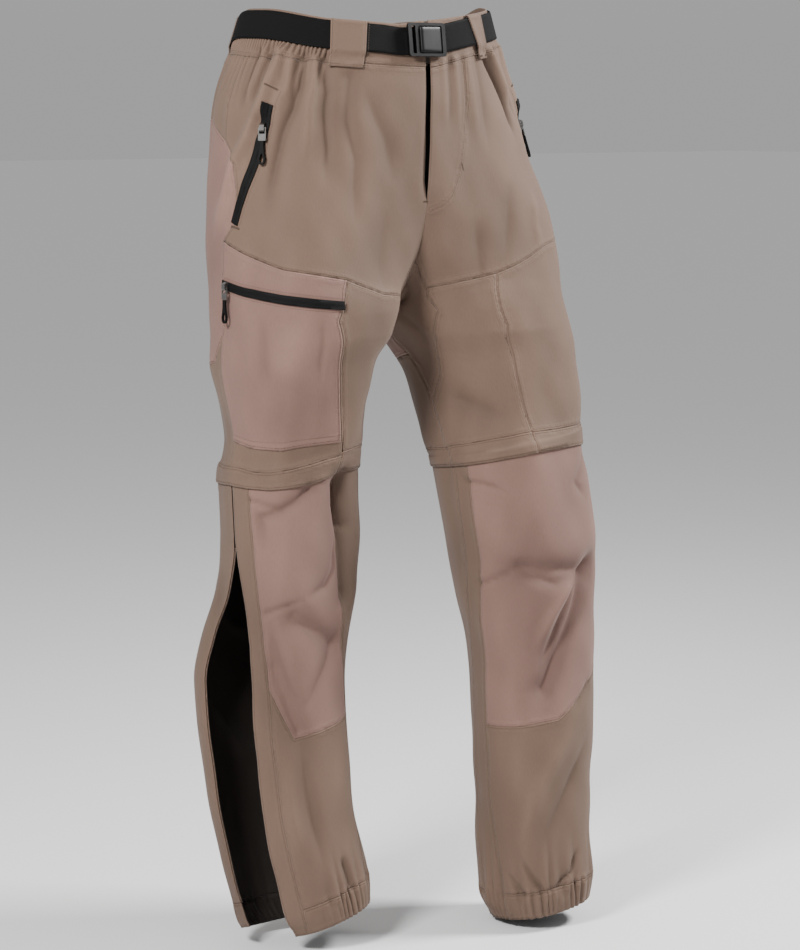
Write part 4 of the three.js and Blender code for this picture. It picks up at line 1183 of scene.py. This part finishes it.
def panel(name, side, outline, rests_on, slot="taupe_cloth", held="hung", **settings):
    """One cut piece of one side, in one patch."""
    return cloth(name_of(name, side), slot, [(side, outline)], held, [rests_on], **settings)


# The front edges at the fly: the left front laps over the right one, which turns in beside it.
FLY_FOOT = 2.62
FLY_LAP = [[0.0068, 0.15], [0.0068, 1.5], [0.005, FLY_FOOT]]
FLY_INNER = [[0.0145, 0.15], [0.0135, 1.3], [0.009, 2.4], [0.0062, FLY_FOOT]]
FLY_CURVE = [[0.098, 0.05], [0.094, 0.9], [0.077, 1.75], [0.066, 2.3], [0.05, 2.66], [0.028, 2.85],
             [0.007, 2.95]]
FLY_LIFT = 1.1
FLY_TURN_IN = -3.2


def left_fly_lift(side, turn, row):
    out = FLY_LIFT * (1 - smooth(FLY_FOOT - 0.1, FLY_FOOT + 0.3, row))
    return out * (1 if side == RIGHT else 1 - smooth(0, 0.05, turn))


def right_fly_lift(side, turn, row):
    turned_in = 1 - smooth(0.008, 0.026, turn)
    return FLY_TURN_IN * turned_in * (1 - smooth(FLY_FOOT - 0.3, FLY_FOOT + 0.2, row))


# How much of the painted inner shade the waistband's facing has.
FACED = 0.25


def build_waistband():
    right_seam = between_turns(WAIST_SEAMS[RIGHT], FLY_INNER[0][0], WAIST_JOIN[RIGHT])
    left_seam = between_turns(WAIST_SEAMS[LEFT], 0, WAIST_JOIN[LEFT])
    lap = FLY_LAP[0][0]
    laps = {
        RIGHT: [(RIGHT, [[FLY_INNER[0][0], -1], [WAIST_JOIN[RIGHT], -1]] + back(right_seam))],
        LEFT: [(LEFT, [[0, -1], [WAIST_JOIN[LEFT], -1]] + back(left_seam)),
               (RIGHT, [[0, -1], [lap, -1], [lap, 0.15], [0, 0.15]])],
    }
    seams = {RIGHT: right_seam, LEFT: left_seam}
    fronts = {RIGHT: right_fly_lift, LEFT: left_fly_lift}
    for side in SIDES:
        join = WAIST_JOIN[side]
        sewn = [(side, seams[side] + [[join, -1], [0.02, -1]])]
        cloth(name_of("waistband_front", side), "taupe_cloth", laps[side], "stretched", ["belt"],
              fronts[side], BAND_WALL, sewn=sewn, inner_side=FACED)
        stitch("waist", side, seams[side], 2.2, wall=BAND_WALL)
        stitch("waist", side, [[0.02, -1], [join, -1]], -3, wall=BAND_WALL)
    patches = []
    sewn = []
    for side in SIDES:
        join = WAIST_JOIN[side]
        seam = between_turns(WAIST_SEAMS[side], join, 1)
        patches.append((side, [[join, -1], [1, -1]] + back(seam)))
        sewn += [(side, [[join, -1], [1, -1]]), (side, seam)]
        stitch("waist", side, seam, 4.5, wall=BAND_WALL)
        stitch("waist", side, [[join, -1], [1, -1]], -3, wall=BAND_WALL)
    band_rows = np.linspace(-1, 0.18, 15).tolist()
    cloth("waistband_back", "taupe_cloth", patches, "gathered", ["belt"], wall=BAND_WALL, across=620,
          rows=band_rows, sewn=sewn, inner_side=FACED)


# The right knee flap has slid down at the side of the leg.
KNEE_SEAMS = {
    RIGHT: {
        "front": [[0, 7], [0.135, 7.04], [0.225, 7.06]],
        "side": [[0.225, 7.23], [0.265, 7.38], [0.306, 7.57], [0.35, 7.7], [0.396, 7.74], [0.431, 7.7],
                 [0.482, 7.45], [0.51, 7.43]],
        "back": [[0.51, 7.43], [0.561, 7.4], [0.68, 7.2], [0.8, 7.02], [1, 7]],
    },
    LEFT: {
        "front": [[0, 7.02], [0.025, 6.98], [0.12, 6.95], [0.2, 6.95]],
        "side": [[0.2, 6.96], [0.344, 7.08], [0.51, 7.1]],
        "back": [[0.51, 7.1], [0.7, 7.02], [1, 7.02]],
    },
}
BAND_FEET = {
    RIGHT: [[0, 8.02], [0.112, 8], [0.225, 8], [0.304, 8.09], [0.395, 8.1], [0.51, 8.02], [0.7, 8.05],
            [1, 8.02]],
    LEFT: [[0, 7.98], [0.1, 7.95], [0.2, 7.94], [0.36, 8.05], [0.6, 8.04], [1, 7.98]],
}


FLAP_LIFT = 2.1
FLAP_WALL = 1.3
# A tape lies this far below the cloth when it is sewn to the inner face.
INNER_LIFT = -1.7


def flap_lift(side, turn, row):
    """The knee band stands off the zip that it hides."""
    return FLAP_LIFT * smooth(7, 7.7, row)


def build_upper(side):
    yoke = YOKES[side]
    thigh = THIGH_SEAMS[side]
    knee = KNEE_SEAMS[side]
    split = [p[0] for p in yoke].index(thigh[0][0])
    yoke_inner = yoke[:split + 1]
    yoke_outer = yoke[split:]
    meet = [p[0] for p in GUSSET_FRONT].index(yoke[0][0])
    rise = GUSSET_FRONT[:meet + 1]
    leg_edge = GUSSET_FRONT[meet:]
    side_edge = SIDE_UPPER + SIDE_HIP + SIDE_POCKET
    group = name_of("upper", side)
    hip = name_of("front_hip", side)
    inner_edge = FLY_INNER if side == RIGHT else [[0, 0.15]]
    side_edge[0] = [0.5, seam_row(side, 0.5)]
    seam = between_turns(WAIST_SEAMS[side], inner_edge[0][0], 0.5)
    fly = [[0, 2.9]] + back(inner_edge)
    patches = [(side, outline_of(seam, side_edge[1:], back(yoke), back(rise), fly))]
    sewn = [(side, side_edge), (side, yoke), (side, seam), (side, rise)]
    if side == LEFT:
        sewn.append((side, FLY_CURVE))
        patches.append((RIGHT, [[0, 0.15]] + FLY_LAP + [[0, 2.9]]))
    fly_lift = right_fly_lift if side == RIGHT else left_fly_lift
    cloth(hip, "taupe_cloth", patches, "hung", [name_of("waistband_front", side)], fly_lift,
          across=240, sewn=sewn)
    front = outline_of(yoke_inner, thigh[:-1], back(knee["front"]), back(leg_edge))
    panel("thigh_front", side, front, hip, lift=flap_lift)
    outer = outline_of(yoke_outer, SIDE_SEAT, SIDE_THIGH[:2], back(knee["side"]), back(thigh[:-1]))
    panel("thigh_side", side, outer, hip, lift=flap_lift)
    yoke_seam = between_turns(WAIST_SEAMS[side], 0.5, 1)
    yoke_back = outline_of(yoke_seam, back(SEAT_TOP), back(SIDE_UPPER[1:]))
    panel("yoke_back", side, yoke_back, "waistband_back", held="gathered", across=240)
    seat_side = back(SIDE_SEAT) + back(SIDE_POCKET) + back(SIDE_HIP)
    seat = outline_of(SEAT_TOP, GUSSET_BACK[:5], back(SEAT_FOOT), seat_side)
    panel("seat", side, seat, name_of("yoke_back", side), "rose_cloth")
    rear = outline_of(SEAT_FOOT, GUSSET_BACK[4:], back(knee["back"]), back(SIDE_THIGH[:2]))
    panel("thigh_back", side, rear, name_of("seat", side), lift=flap_lift)
    stitch_lines(group, side, [
        (yoke, 2.5), (between(thigh, thigh[0][1], 6.9), 2.5), (leg_edge, 2.2), (GUSSET_FRONT, 6.5),
        (SIDE_UPPER, -2.5), (SIDE_HIP + SIDE_POCKET, -2.5), (SIDE_SEAT, -2.5), (SEAT_TOP, -2.5),
        (SEAT_FOOT, 2.5), (GUSSET_BACK, -2.5),
    ])
    build_knee_band(side, group)


def build_knee_band(side, group):
    knee = KNEE_SEAMS[side]
    foot = BAND_FEET[side]
    join = knee["side"][0][0]
    spot = [p[0] for p in foot].index(join)
    front = outline_of(knee["front"], back(foot[:spot + 1]))
    thick = {"lift": flap_lift, "wall": FLAP_WALL}
    panel("knee_band_front", side, front, name_of("thigh_front", side), **thick)
    outer = outline_of(knee["side"], knee["back"], back(foot[spot:]))
    panel("knee_band_side", side, outer, name_of("thigh_side", side), **thick)
    ring = [[0, 7.12], [1, 7.12], [1, 7.72], [0, 7.72]]
    panel("knee_zip", side, ring, name_of("thigh_front", side), "zip_tape", "stretched",
          lift=level(INNER_LIFT), wall=TAPE_WALL, roll=0)
    stitch_lines(group, side, [(part, -2.2) for part in knee.values()] + [(foot, 2.6)], **thick)


def build_gusset():
    patches = []
    sewn = []
    for side in SIDES:
        patches.append((side, outline_of(GUSSET_FRONT, [[0, 6.45], [0, 5]])))
        patches.append((side, outline_of(GUSSET_BACK, [[1, 6.45], [1, 5]])))
        sewn += [(side, GUSSET_FRONT), (side, GUSSET_BACK)]
    cloth("gusset", "taupe_cloth", patches, "hung", ["thigh_front_r", "thigh_front_l"], sewn=sewn)


KNEE_DARTS = {
    RIGHT: [[[0.448, 8.22], [0.396, 8.31], [0.36, 8.39]], [[0.416, 9.45], [0.366, 9.38], [0.312, 9.31]]],
    LEFT: [[[0.04, 8.18], [0.08, 8.23], [0.111, 8.29], [0.128, 8.34]],
           [[0.035, 9.18], [0.077, 9.12], [0.121, 9.07], [0.14, 9.06]]],
}


HEM_WALL = 1.3


def build_lower(side):
    flare = side == RIGHT
    front = INNER_FRONT[side]
    rear = INNER_BACK[side]
    knee = KNEE_FOOT[side]
    knee_row = knee[0][1]
    meet = knee[-1][1]
    group = name_of("lower", side)
    tape = name_of("knee_zip", side)
    above = name_of("knee_panel", side)
    top = between(STRIP_FRONT, KNEE_TOP, meet)
    knee_panel = outline_of(top, back(knee), back(between(front, KNEE_TOP, knee_row)))
    panel("knee_panel", side, knee_panel, tape, "rose_cloth")
    shin_side = between(STRIP_FRONT, meet, CASING_TOP)
    panel("shin", side, outline_of(knee, shin_side, back(between(front, knee_row, CASING_TOP))), above)
    panel("outer_strip", side, outline_of(ZIP_EDGE, back(STRIP_FRONT)), above)
    panel("inner_strip", side, outline_of(front, back(rear)), above)
    zip_side = shifted(ZIP_EDGE, ZIP_GAP_TURN)
    inseam = shifted(rear, 1)
    calf = outline_of(between(inseam, KNEE_TOP, CASING_TOP), back(between(zip_side, KNEE_TOP, CASING_TOP)))
    panel("calf", side, calf, tape, flare=flare)
    hem = {"held": "gathered", "wall": HEM_WALL, "across": 400}
    hem_front = outline_of(between(STRIP_FRONT, CASING_TOP, HEM), back(between(front, CASING_TOP, HEM)))
    panel("hem_front", side, hem_front, name_of("shin", side), **hem)
    hem_back = outline_of(between(inseam, CASING_TOP, HEM), back(between(zip_side, CASING_TOP, HEM)))
    panel("hem_back", side, hem_back, name_of("calf", side), flare=flare, **hem)
    stitch_lines(group, side, [
        (between(STRIP_FRONT, 8.1, HEM), 2.4), (between(front, 8.1, CASING_TOP), -2.4),
        (between(rear, 8.1, CASING_TOP), 2.4), (between(ZIP_EDGE, 8.2, HEM), -3), (knee, -2.4),
    ])
    front_casing = [[front[4][0], CASING_TOP], [STRIP_FRONT[7][0], CASING_TOP]]
    back_casing = [[zip_side[-2][0], CASING_TOP], [inseam[-2][0], CASING_TOP]]
    stitch(group, side, front_casing, -2, wall=HEM_WALL)
    stitch(group, side, back_casing, -2, wall=HEM_WALL, flare=flare)
    for dart in KNEE_DARTS[side]:
        stitch(group, side, dart, pitch=2.4)


SIDE_ZIP_ROWS = {RIGHT: (8.75, CASING_TOP), LEFT: (8.2, CASING_TOP)}
ZIP_SEWN = 0.034
ZIP_BARE = 0.003
PUCKER_MM = 9.6
PUCKER_DEEP_MM = 1.6
# Share of the painted inner shade on the facing of the open side zip, less so that its puckers show.
FACING_SHADE = 0.55


def puckered_facing(side, turn, row):
    """The facing of the open edge is pulled in by its stitches, one small pucker after another."""
    edge = np.interp(row, [p[1] for p in ZIP_EDGE], [p[0] for p in ZIP_EDGE]) + ZIP_GAP_TURN
    near = np.exp(-((turn - edge - 0.012) / 0.008) ** 2)
    return INNER_LIFT - PUCKER_DEEP_MM * near * pleats(fall(side, row) / PUCKER_MM, 0.26)


def build_side_zips():
    top, foot = SIDE_ZIP_ROWS[RIGHT]
    edge = between(ZIP_EDGE, top, foot)
    half = shifted(edge, ZIP_BARE) + back(shifted(edge, -ZIP_SEWN))
    tape = {"wall": TAPE_WALL, "roll": 0}
    panel("side_zip_front", RIGHT, half, "outer_strip_r", "zip_tape", lift=level(INNER_LIFT), **tape)
    sewn = shifted(edge, ZIP_GAP_TURN + ZIP_SEWN)
    bare = shifted(edge, ZIP_GAP_TURN - ZIP_BARE)
    panel("side_zip_back", RIGHT, sewn + back(bare), "calf_r", lift=puckered_facing, flare=True,
          across=320, inner_side=FACING_SHADE, **tape)
    zip_teeth("zip_teeth_side_front_r", "zip_tape", RIGHT, shifted(edge, ZIP_BARE), INNER_LIFT, apart=0)
    zip_teeth("zip_teeth_side_back_r", "zip_tape", RIGHT, bare, INNER_LIFT, apart=0, flare=True)
    top, foot = SIDE_ZIP_ROWS[LEFT]
    closed = between(ZIP_EDGE, top, foot)
    outline = shifted(closed, ZIP_GAP_TURN + ZIP_SEWN) + back(shifted(closed, -ZIP_SEWN))
    panel("side_zip", LEFT, outline, "outer_strip_l", "zip_tape", lift=level(INNER_LIFT), **tape)
    line = shifted(closed, ZIP_GAP_TURN / 2)
    zip_teeth("zip_teeth_side_l", "zip_tape", LEFT, line, INNER_LIFT + 0.5)


GUARD_LIFT = -6.5
GUARD_TOP = 0.06
GUARD_SIDE_FOOT = 2.3
GUARD_FOOT = 2.75
GUARD_REACH = {RIGHT: 0.05, LEFT: 0.08}


def build_fly():
    patches = [(side, [[0, GUARD_TOP], [reach, GUARD_TOP], [reach, GUARD_SIDE_FOOT], [0, GUARD_FOOT]])
               for side, reach in GUARD_REACH.items()]
    # The guard wears the black zip tape's material: it stands for the fly's zip behind the opening, and its
    # dark colour also paints the shade in the slit.
    cloth("fly_guard", "zip_tape", patches, "hung", ["waistband_front_l"], level(GUARD_LIFT),
          sewn=[(LEFT, patches[1][1][1:3])])
    stitch("fly", LEFT, FLY_CURVE)
    stitch("fly", RIGHT, FLY_LAP, -1.8, lift=left_fly_lift)
    for side, start, end in ((RIGHT, (0.012, 2.78), (0.001, 2.78)), (LEFT, (0.001, 2.78), (0.012, 2.78)),
                             (LEFT, (0.072, 2.05), (0.078, 2.2))):
        tack("fly", side, start, end, 1.8)


POCKET_LIFT = 1.05
POCKET_BAG = 3.5
POCKET_WALL = 1.0
CARGO_ZIP_LIFT = POCKET_LIFT + 1.8
CARGO_ZIP = [[0.514, 4.33], [0.455, 4.49], [0.393, 4.62], [0.335, 4.71], [0.28, 4.78]]
CARGO_ZIP_HALF = 4.7
HAND_ZIP_LIFT = 1.5
HAND_ZIP_HALF = 5.2
HAND_ZIP = [[0.37, 1.03], [0.383, 1.35], [0.4, 1.67], [0.427, 2.14], [0.448, 2.5], [0.465, 2.86],
            [0.477, 3.18]]
TEETH_RISE = 0.15


def pocket_lift(side, turn, row):
    """The cargo pocket bags out a little above its foot, and lies flat at its sewn edges."""
    bag = smooth(5, 6.1, row) * (1 - smooth(6.3, 6.85, row))
    return POCKET_LIFT + POCKET_BAG * bag * np.sin(math.pi * smooth(0.25, 0.52, turn))


def build_cargo_pocket():
    foot = [[0.519, 6.82], [0.46, 6.88], [0.38, 6.92], [0.3, 6.9], [0.241, 6.89]]
    front = [[0.241, 6.89], [0.257, 6.32], [0.274, 5.77], [0.294, 5.12], [0.271, 4.46], YOKES[RIGHT][2]]
    outline = outline_of(YOKES[RIGHT][2:], SIDE_SEAT, foot, front[1:-1])
    bag = {"lift": pocket_lift, "wall": POCKET_WALL}
    panel("cargo_pocket", RIGHT, outline, "thigh_side_r", "rose_cloth", across=240, roll=0.3, **bag)
    tape_on("cargo", RIGHT, CARGO_ZIP, -CARGO_ZIP_HALF, CARGO_ZIP_LIFT, "cargo_pocket_r")
    foot = back(foot)
    mouth = back(CARGO_ZIP)
    box = [[0.487, 4.3], [0.512, 4.22], [0.516, 4.52], [0.49, 4.62]]
    stitch_lines("pocket", RIGHT, [
        (foot, 3), (foot, 9), (back(front), 2.5), (SIDE_SEAT, -2.5), (mouth, 7.5), (mouth, -7.5), (box, 0),
    ], **bag)


def tape_on(name, side, line, half, height, rests_on):
    """A zip laid on the cloth: its tape, and the teeth along its middle."""
    outline = beside(side, line, half) + back(beside(side, line, -half))
    panel(name + "_zip", side, outline, rests_on, "zip_tape", "laid", lift=level(height), wall=TAPE_WALL,
          across=400, roll=0)
    zip_teeth(name_of("zip_teeth_" + name, side), "zip_tape", side, line, height + TEETH_RISE)


def build_hand_zips():
    for side in SIDES:
        tape_on("hand", side, HAND_ZIP, HAND_ZIP_HALF, HAND_ZIP_LIFT, name_of("front_hip", side))
        group = name_of("upper", side)
        stitch(group, side, HAND_ZIP, -7.8)
        stitch(group, side, [[0.342, 0.8], [0.357, 1.1]])
        tack(group, side, (0.379, 0.72), (0.35, 0.78), 2.4)
        tack(group, side, (0.466, 3.26), (0.486, 3.22), 2.4)


BELT_LIFT = 3.6
BELT_TOP = -0.84
BELT_FOOT = -0.12
BELT_SIDE_TOP = -0.93
BELT_SIDE_FOOT = -0.21
BELT_SIDE_TURN = 0.13
LOOPS = [
    ("belt_loop_front_r", RIGHT, 0.173, 0.262, 0.168, 0.245, 0.28),
    ("belt_loop_front_l", LEFT, 0.122, 0.18, 0.152, 0.182, 0.12),
    ("belt_loop_back_r", RIGHT, 0.68, 0.74, 0.685, 0.735, 0.3),
    ("belt_loop_back_l", LEFT, 0.68, 0.74, 0.685, 0.735, 0.3),
]
LOOP_REST = 2.7
LOOP_OVER = 5.7
LOOP_WALL = 1.4
LOOP_TOP = -0.995
LOOP_EDGE_MM = 2.2
LOOP_STEP_MM = 0.5
LOOP_STITCH_STEPS = 4
LOOP_PITCH_STEPS = 6
LOOP_TACK_THREADS = 9
LOOP_TACK_HALF_ROWS = 0.018


def loop_lift(side, turn, row):
    """A loop leaves the top of the waistband, passes over the belt and comes back to the cloth."""
    return LOOP_REST + (LOOP_OVER - LOOP_REST) * smooth(-1, -0.945, row) * (1 - smooth(-0.19, 0, row))


def build_belt():
    upper = [[0, BELT_TOP], [BELT_SIDE_TURN, BELT_SIDE_TOP], [1, BELT_SIDE_TOP]]
    outline = upper + [[1, BELT_SIDE_FOOT], [BELT_SIDE_TURN, BELT_SIDE_FOOT], [0, BELT_FOOT]]
    lower = back(outline[3:])
    sewn = [(side, line) for side in SIDES for line in (upper, lower)]
    cloth("belt", "belt_webbing", [(side, outline) for side in SIDES], "stretched",
          [loop[0] for loop in LOOPS], level(BELT_LIFT), BELT_WALL, plain=True, sewn=sewn,
          rows=np.linspace(-1, 0, 19).tolist(), roll=0.5)
    for name, side, start, stop, foot_start, foot_stop, foot in LOOPS:
        outline = [[start, LOOP_TOP], [stop, LOOP_TOP], [foot_stop, foot], [foot_start, foot]]
        band = name_of("waistband_front", side) if "front" in name else "waistband_back"
        rows = np.linspace(-1, foot, 25).tolist()
        cloth(name, "taupe_cloth", [(side, outline)], "stretched", [band], loop_lift, LOOP_WALL, across=400,
              rows=rows, plain=True)
        stitch_loop(side, outline[3:] + outline[:1], LOOP_EDGE_MM)
        stitch_loop(side, outline[1:3], -LOOP_EDGE_MM)
        middle = (foot_start + foot_stop) / 2
        spread = (foot_stop - foot_start) * 0.36
        for sign in (-1, 1):
            tack_loop(side, middle + sign * spread, spread * 0.45, foot - 0.06)


def on_loop(side, line):
    """Points and normals of threads on a belt loop."""
    turn, row = np.array(line, float).T
    height = loop_lift(side, turn, row) + LOOP_WALL / 2 + THREAD_RADIUS / 2
    return surface(side, turn, row, height, plain=True)


def stitch_loop(side, line, offset):
    """Stitches along an edge of a belt loop."""
    points, normals = on_loop(side, dense(side, beside(side, line, offset), LOOP_STEP_MM))
    starts = np.arange(0, len(points) - LOOP_STITCH_STEPS, LOOP_PITCH_STEPS)
    add_threads("waist", points[starts], points[starts + LOOP_STITCH_STEPS], normals[starts])


def tack_loop(side, middle, reach, row):
    """A bar tack on a belt loop, of upright threads."""
    for step in np.linspace(-reach, reach, LOOP_TACK_THREADS):
        line = [[middle + step, row - LOOP_TACK_HALF_ROWS], [middle + step, row + LOOP_TACK_HALF_ROWS]]
        points, normals = on_loop(side, line)
        add_threads("waist", points[:1], points[1:], normals[:1])


# Buckle: the frame stays as it is on the solid, and the lever is an arched plate in its window.
LEVER_PROFILE = [[-15.7, 1.2], [-15.3, 4.3], [-14.2, 5.3], [-12, 5.5], [-8, 5.2], [0, 4.5], [8, 3.6],
                 [13.5, 2.8], [15.2, 2.2], [15.7, 1.2]]
LEVER_HALF = 14.9
BUCKLE_ASIDE = -11.0
WINDOW_X = 5.0
BUCKLE_LIFT = 5.3
LEVER_EDGE = 0.9
LEVER_INNER = 0.4
LEVER_END_POWER = 14


def build_lever():
    middle = (BELT_TOP + BELT_FOOT) / 2
    points, normals = surface(RIGHT, np.array([0.0]), np.array([middle]), BUCKLE_LIFT, plain=True)
    normal = Vector(normals[0])
    up = (Vector((0, 0, 1)) - normal * normal.z).normalized()
    across = up.cross(normal)
    profile = np.array(LEVER_PROFILE)
    run = np.concatenate([[0], np.cumsum(np.hypot(*np.diff(profile, axis=0).T))])
    stations = np.linspace(0, run[-1], 48)
    xs = np.interp(stations, run, profile[:, 0])
    heights = np.interp(stations, run, profile[:, 1])
    ys = np.linspace(-LEVER_HALF, LEVER_HALF, 40)
    grid_x, grid_y = np.meshgrid(xs, ys)
    ends = np.sqrt(np.clip(1 - (np.abs(grid_y) / (LEVER_HALF + 0.3)) ** LEVER_END_POWER, 0, 1))
    grid_z = LEVER_EDGE + (heights[None, :] - LEVER_EDGE) * ends
    basis = np.array([across, up, normal])
    aside = WINDOW_X + BUCKLE_ASIDE

    def skin(x, y, z):
        return points[0] + np.stack([x + aside, y, z], -1).reshape(-1, 3) @ basis

    outer = skin(grid_x, grid_y, grid_z)
    inner = skin(grid_x * 0.97, grid_y * 0.98, 0 * grid_z + LEVER_INNER)
    wide = len(xs)
    faces = [[j * wide + i, j * wide + i + 1, (j + 1) * wide + i + 1, (j + 1) * wide + i]
             for j in range(len(ys) - 1) for i in range(wide - 1)]
    lever = closed_shell("buckle_lever_plate", outer, inner, faces)
    dress(lever, "buckle_plastic", "buckle_lever")


BEVEL_SEGMENTS = 3
BEVEL_ANGLE = 35
# Hard parts of a zip: what they are made of and how round their edges are, in millimetres.
ZIP_PARTS = {
    "_slider": ("zip_metal", 0.5),
    "_pull": ("zip_metal", 0.35),
    "_pull_loop": ("puller_rubber", 0.7),
}


def soften(node, material, width):
    """Gives a hard node rounded edges and its finish."""
    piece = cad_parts[node]
    bevel = piece.modifiers.new("rounded", "BEVEL")
    bevel.width = width * MM
    bevel.segments = BEVEL_SEGMENTS
    bevel.limit_method = "ANGLE"
    bevel.angle_limit = math.radians(BEVEL_ANGLE)
    for place in piece.material_slots:
        place.material = MATERIALS[material]


build_waistband()
for side in SIDES:
    build_upper(side)
build_gusset()
for side in SIDES:
    build_lower(side)
build_side_zips()
build_fly()
build_cargo_pocket()
build_hand_zips()
build_belt()
build_lever()
sew_all()
for name in ("hand_zip_r", "hand_zip_l", "cargo_zip_r"):
    for part, (material, width) in ZIP_PARTS.items():
        soften(name + part, material, width)
soften("buckle_frame", "buckle_plastic", 0.7)


# Floor, lights and camera
CAMERA = (-2001.7, -2626.4, -100.0)
TARGET = (30.0, -26.0, -528.0)
SENSOR_MM = 36.0
FOCAL_PIXELS = 2860
IMAGE_HEIGHT = 950
FLOOR_Z = -1058.0
FLOOR_HALF = 40000.0
FLOOR_GREY = 0.72
WORLD_STRENGTH = 0.62
HORIZON_STRENGTH = 0.4
HORIZON_CLIMB = (0.02, 0.5)
LIGHT_SIZE = 0.5
# Each light has a place and a target in metres, and a power in watts.
LIGHTS = {
    "key": ((1.45, -0.95, 0.85), (0.05, 0, -0.3), 102),
    "side": ((-1.75, -0.75, 0.75), (-0.1, 0, -0.3), 82),
}


def aimed(name, data, place, target):
    """Camera or light at a place, turned to its target."""
    item = bpy.data.objects.new(name, data)
    item.location = place
    item.rotation_euler = (Vector(target) - Vector(place)).to_track_quat("-Z", "Y").to_euler()
    bpy.context.scene.collection.objects.link(item)
    return item


def build_camera():
    data = bpy.data.cameras.new("camera")
    data.sensor_width = SENSOR_MM
    data.lens = FOCAL_PIXELS / IMAGE_HEIGHT * SENSOR_MM
    bpy.context.scene.camera = aimed("camera", data, Vector(CAMERA) * MM, Vector(TARGET) * MM)


def build_floor():
    signs = ((-1, -1), (1, -1), (1, 1), (-1, 1))
    corners = [(x * FLOOR_HALF, y * FLOOR_HALF, FLOOR_Z) for x, y in signs]
    floor = mesh_piece("floor", corners, [(0, 1, 2, 3)])
    s = Shading("floor")
    grey = (FLOOR_GREY, FLOOR_GREY, FLOOR_GREY, 1)
    floor.data.materials.append(s.finish(Base_Color=grey, Roughness=1.0, Specular_IOR_Level=0.0))


def build_world():
    """A white sky, weaker towards the horizon."""
    world = bpy.data.worlds.new("world")
    bpy.context.scene.world = world
    world.use_nodes = True
    tree = world.node_tree
    sky = tree.nodes["Background"]
    sky.inputs["Color"].default_value = (1, 1, 1, 1)
    way = tree.nodes.new("ShaderNodeTexCoord")
    split = tree.nodes.new("ShaderNodeSeparateXYZ")
    climb = tree.nodes.new("ShaderNodeMapRange")
    strengths = (HORIZON_STRENGTH, WORLD_STRENGTH)
    for name, value in zip(("From Min", "From Max", "To Min", "To Max"), HORIZON_CLIMB + strengths):
        climb.inputs[name].default_value = value
    tree.links.new(way.outputs["Generated"], split.inputs[0])
    tree.links.new(split.outputs["Z"], climb.inputs["Value"])
    tree.links.new(climb.outputs[0], sky.inputs["Strength"])


def build_lights():
    for name, (place, target, power) in LIGHTS.items():
        data = bpy.data.lights.new(name, "AREA")
        data.shape = "RECTANGLE"
        data.size = LIGHT_SIZE
        data.size_y = LIGHT_SIZE
        data.energy = power
        aimed(name, data, place, target)


build_camera()
build_floor()
build_world()
build_lights()
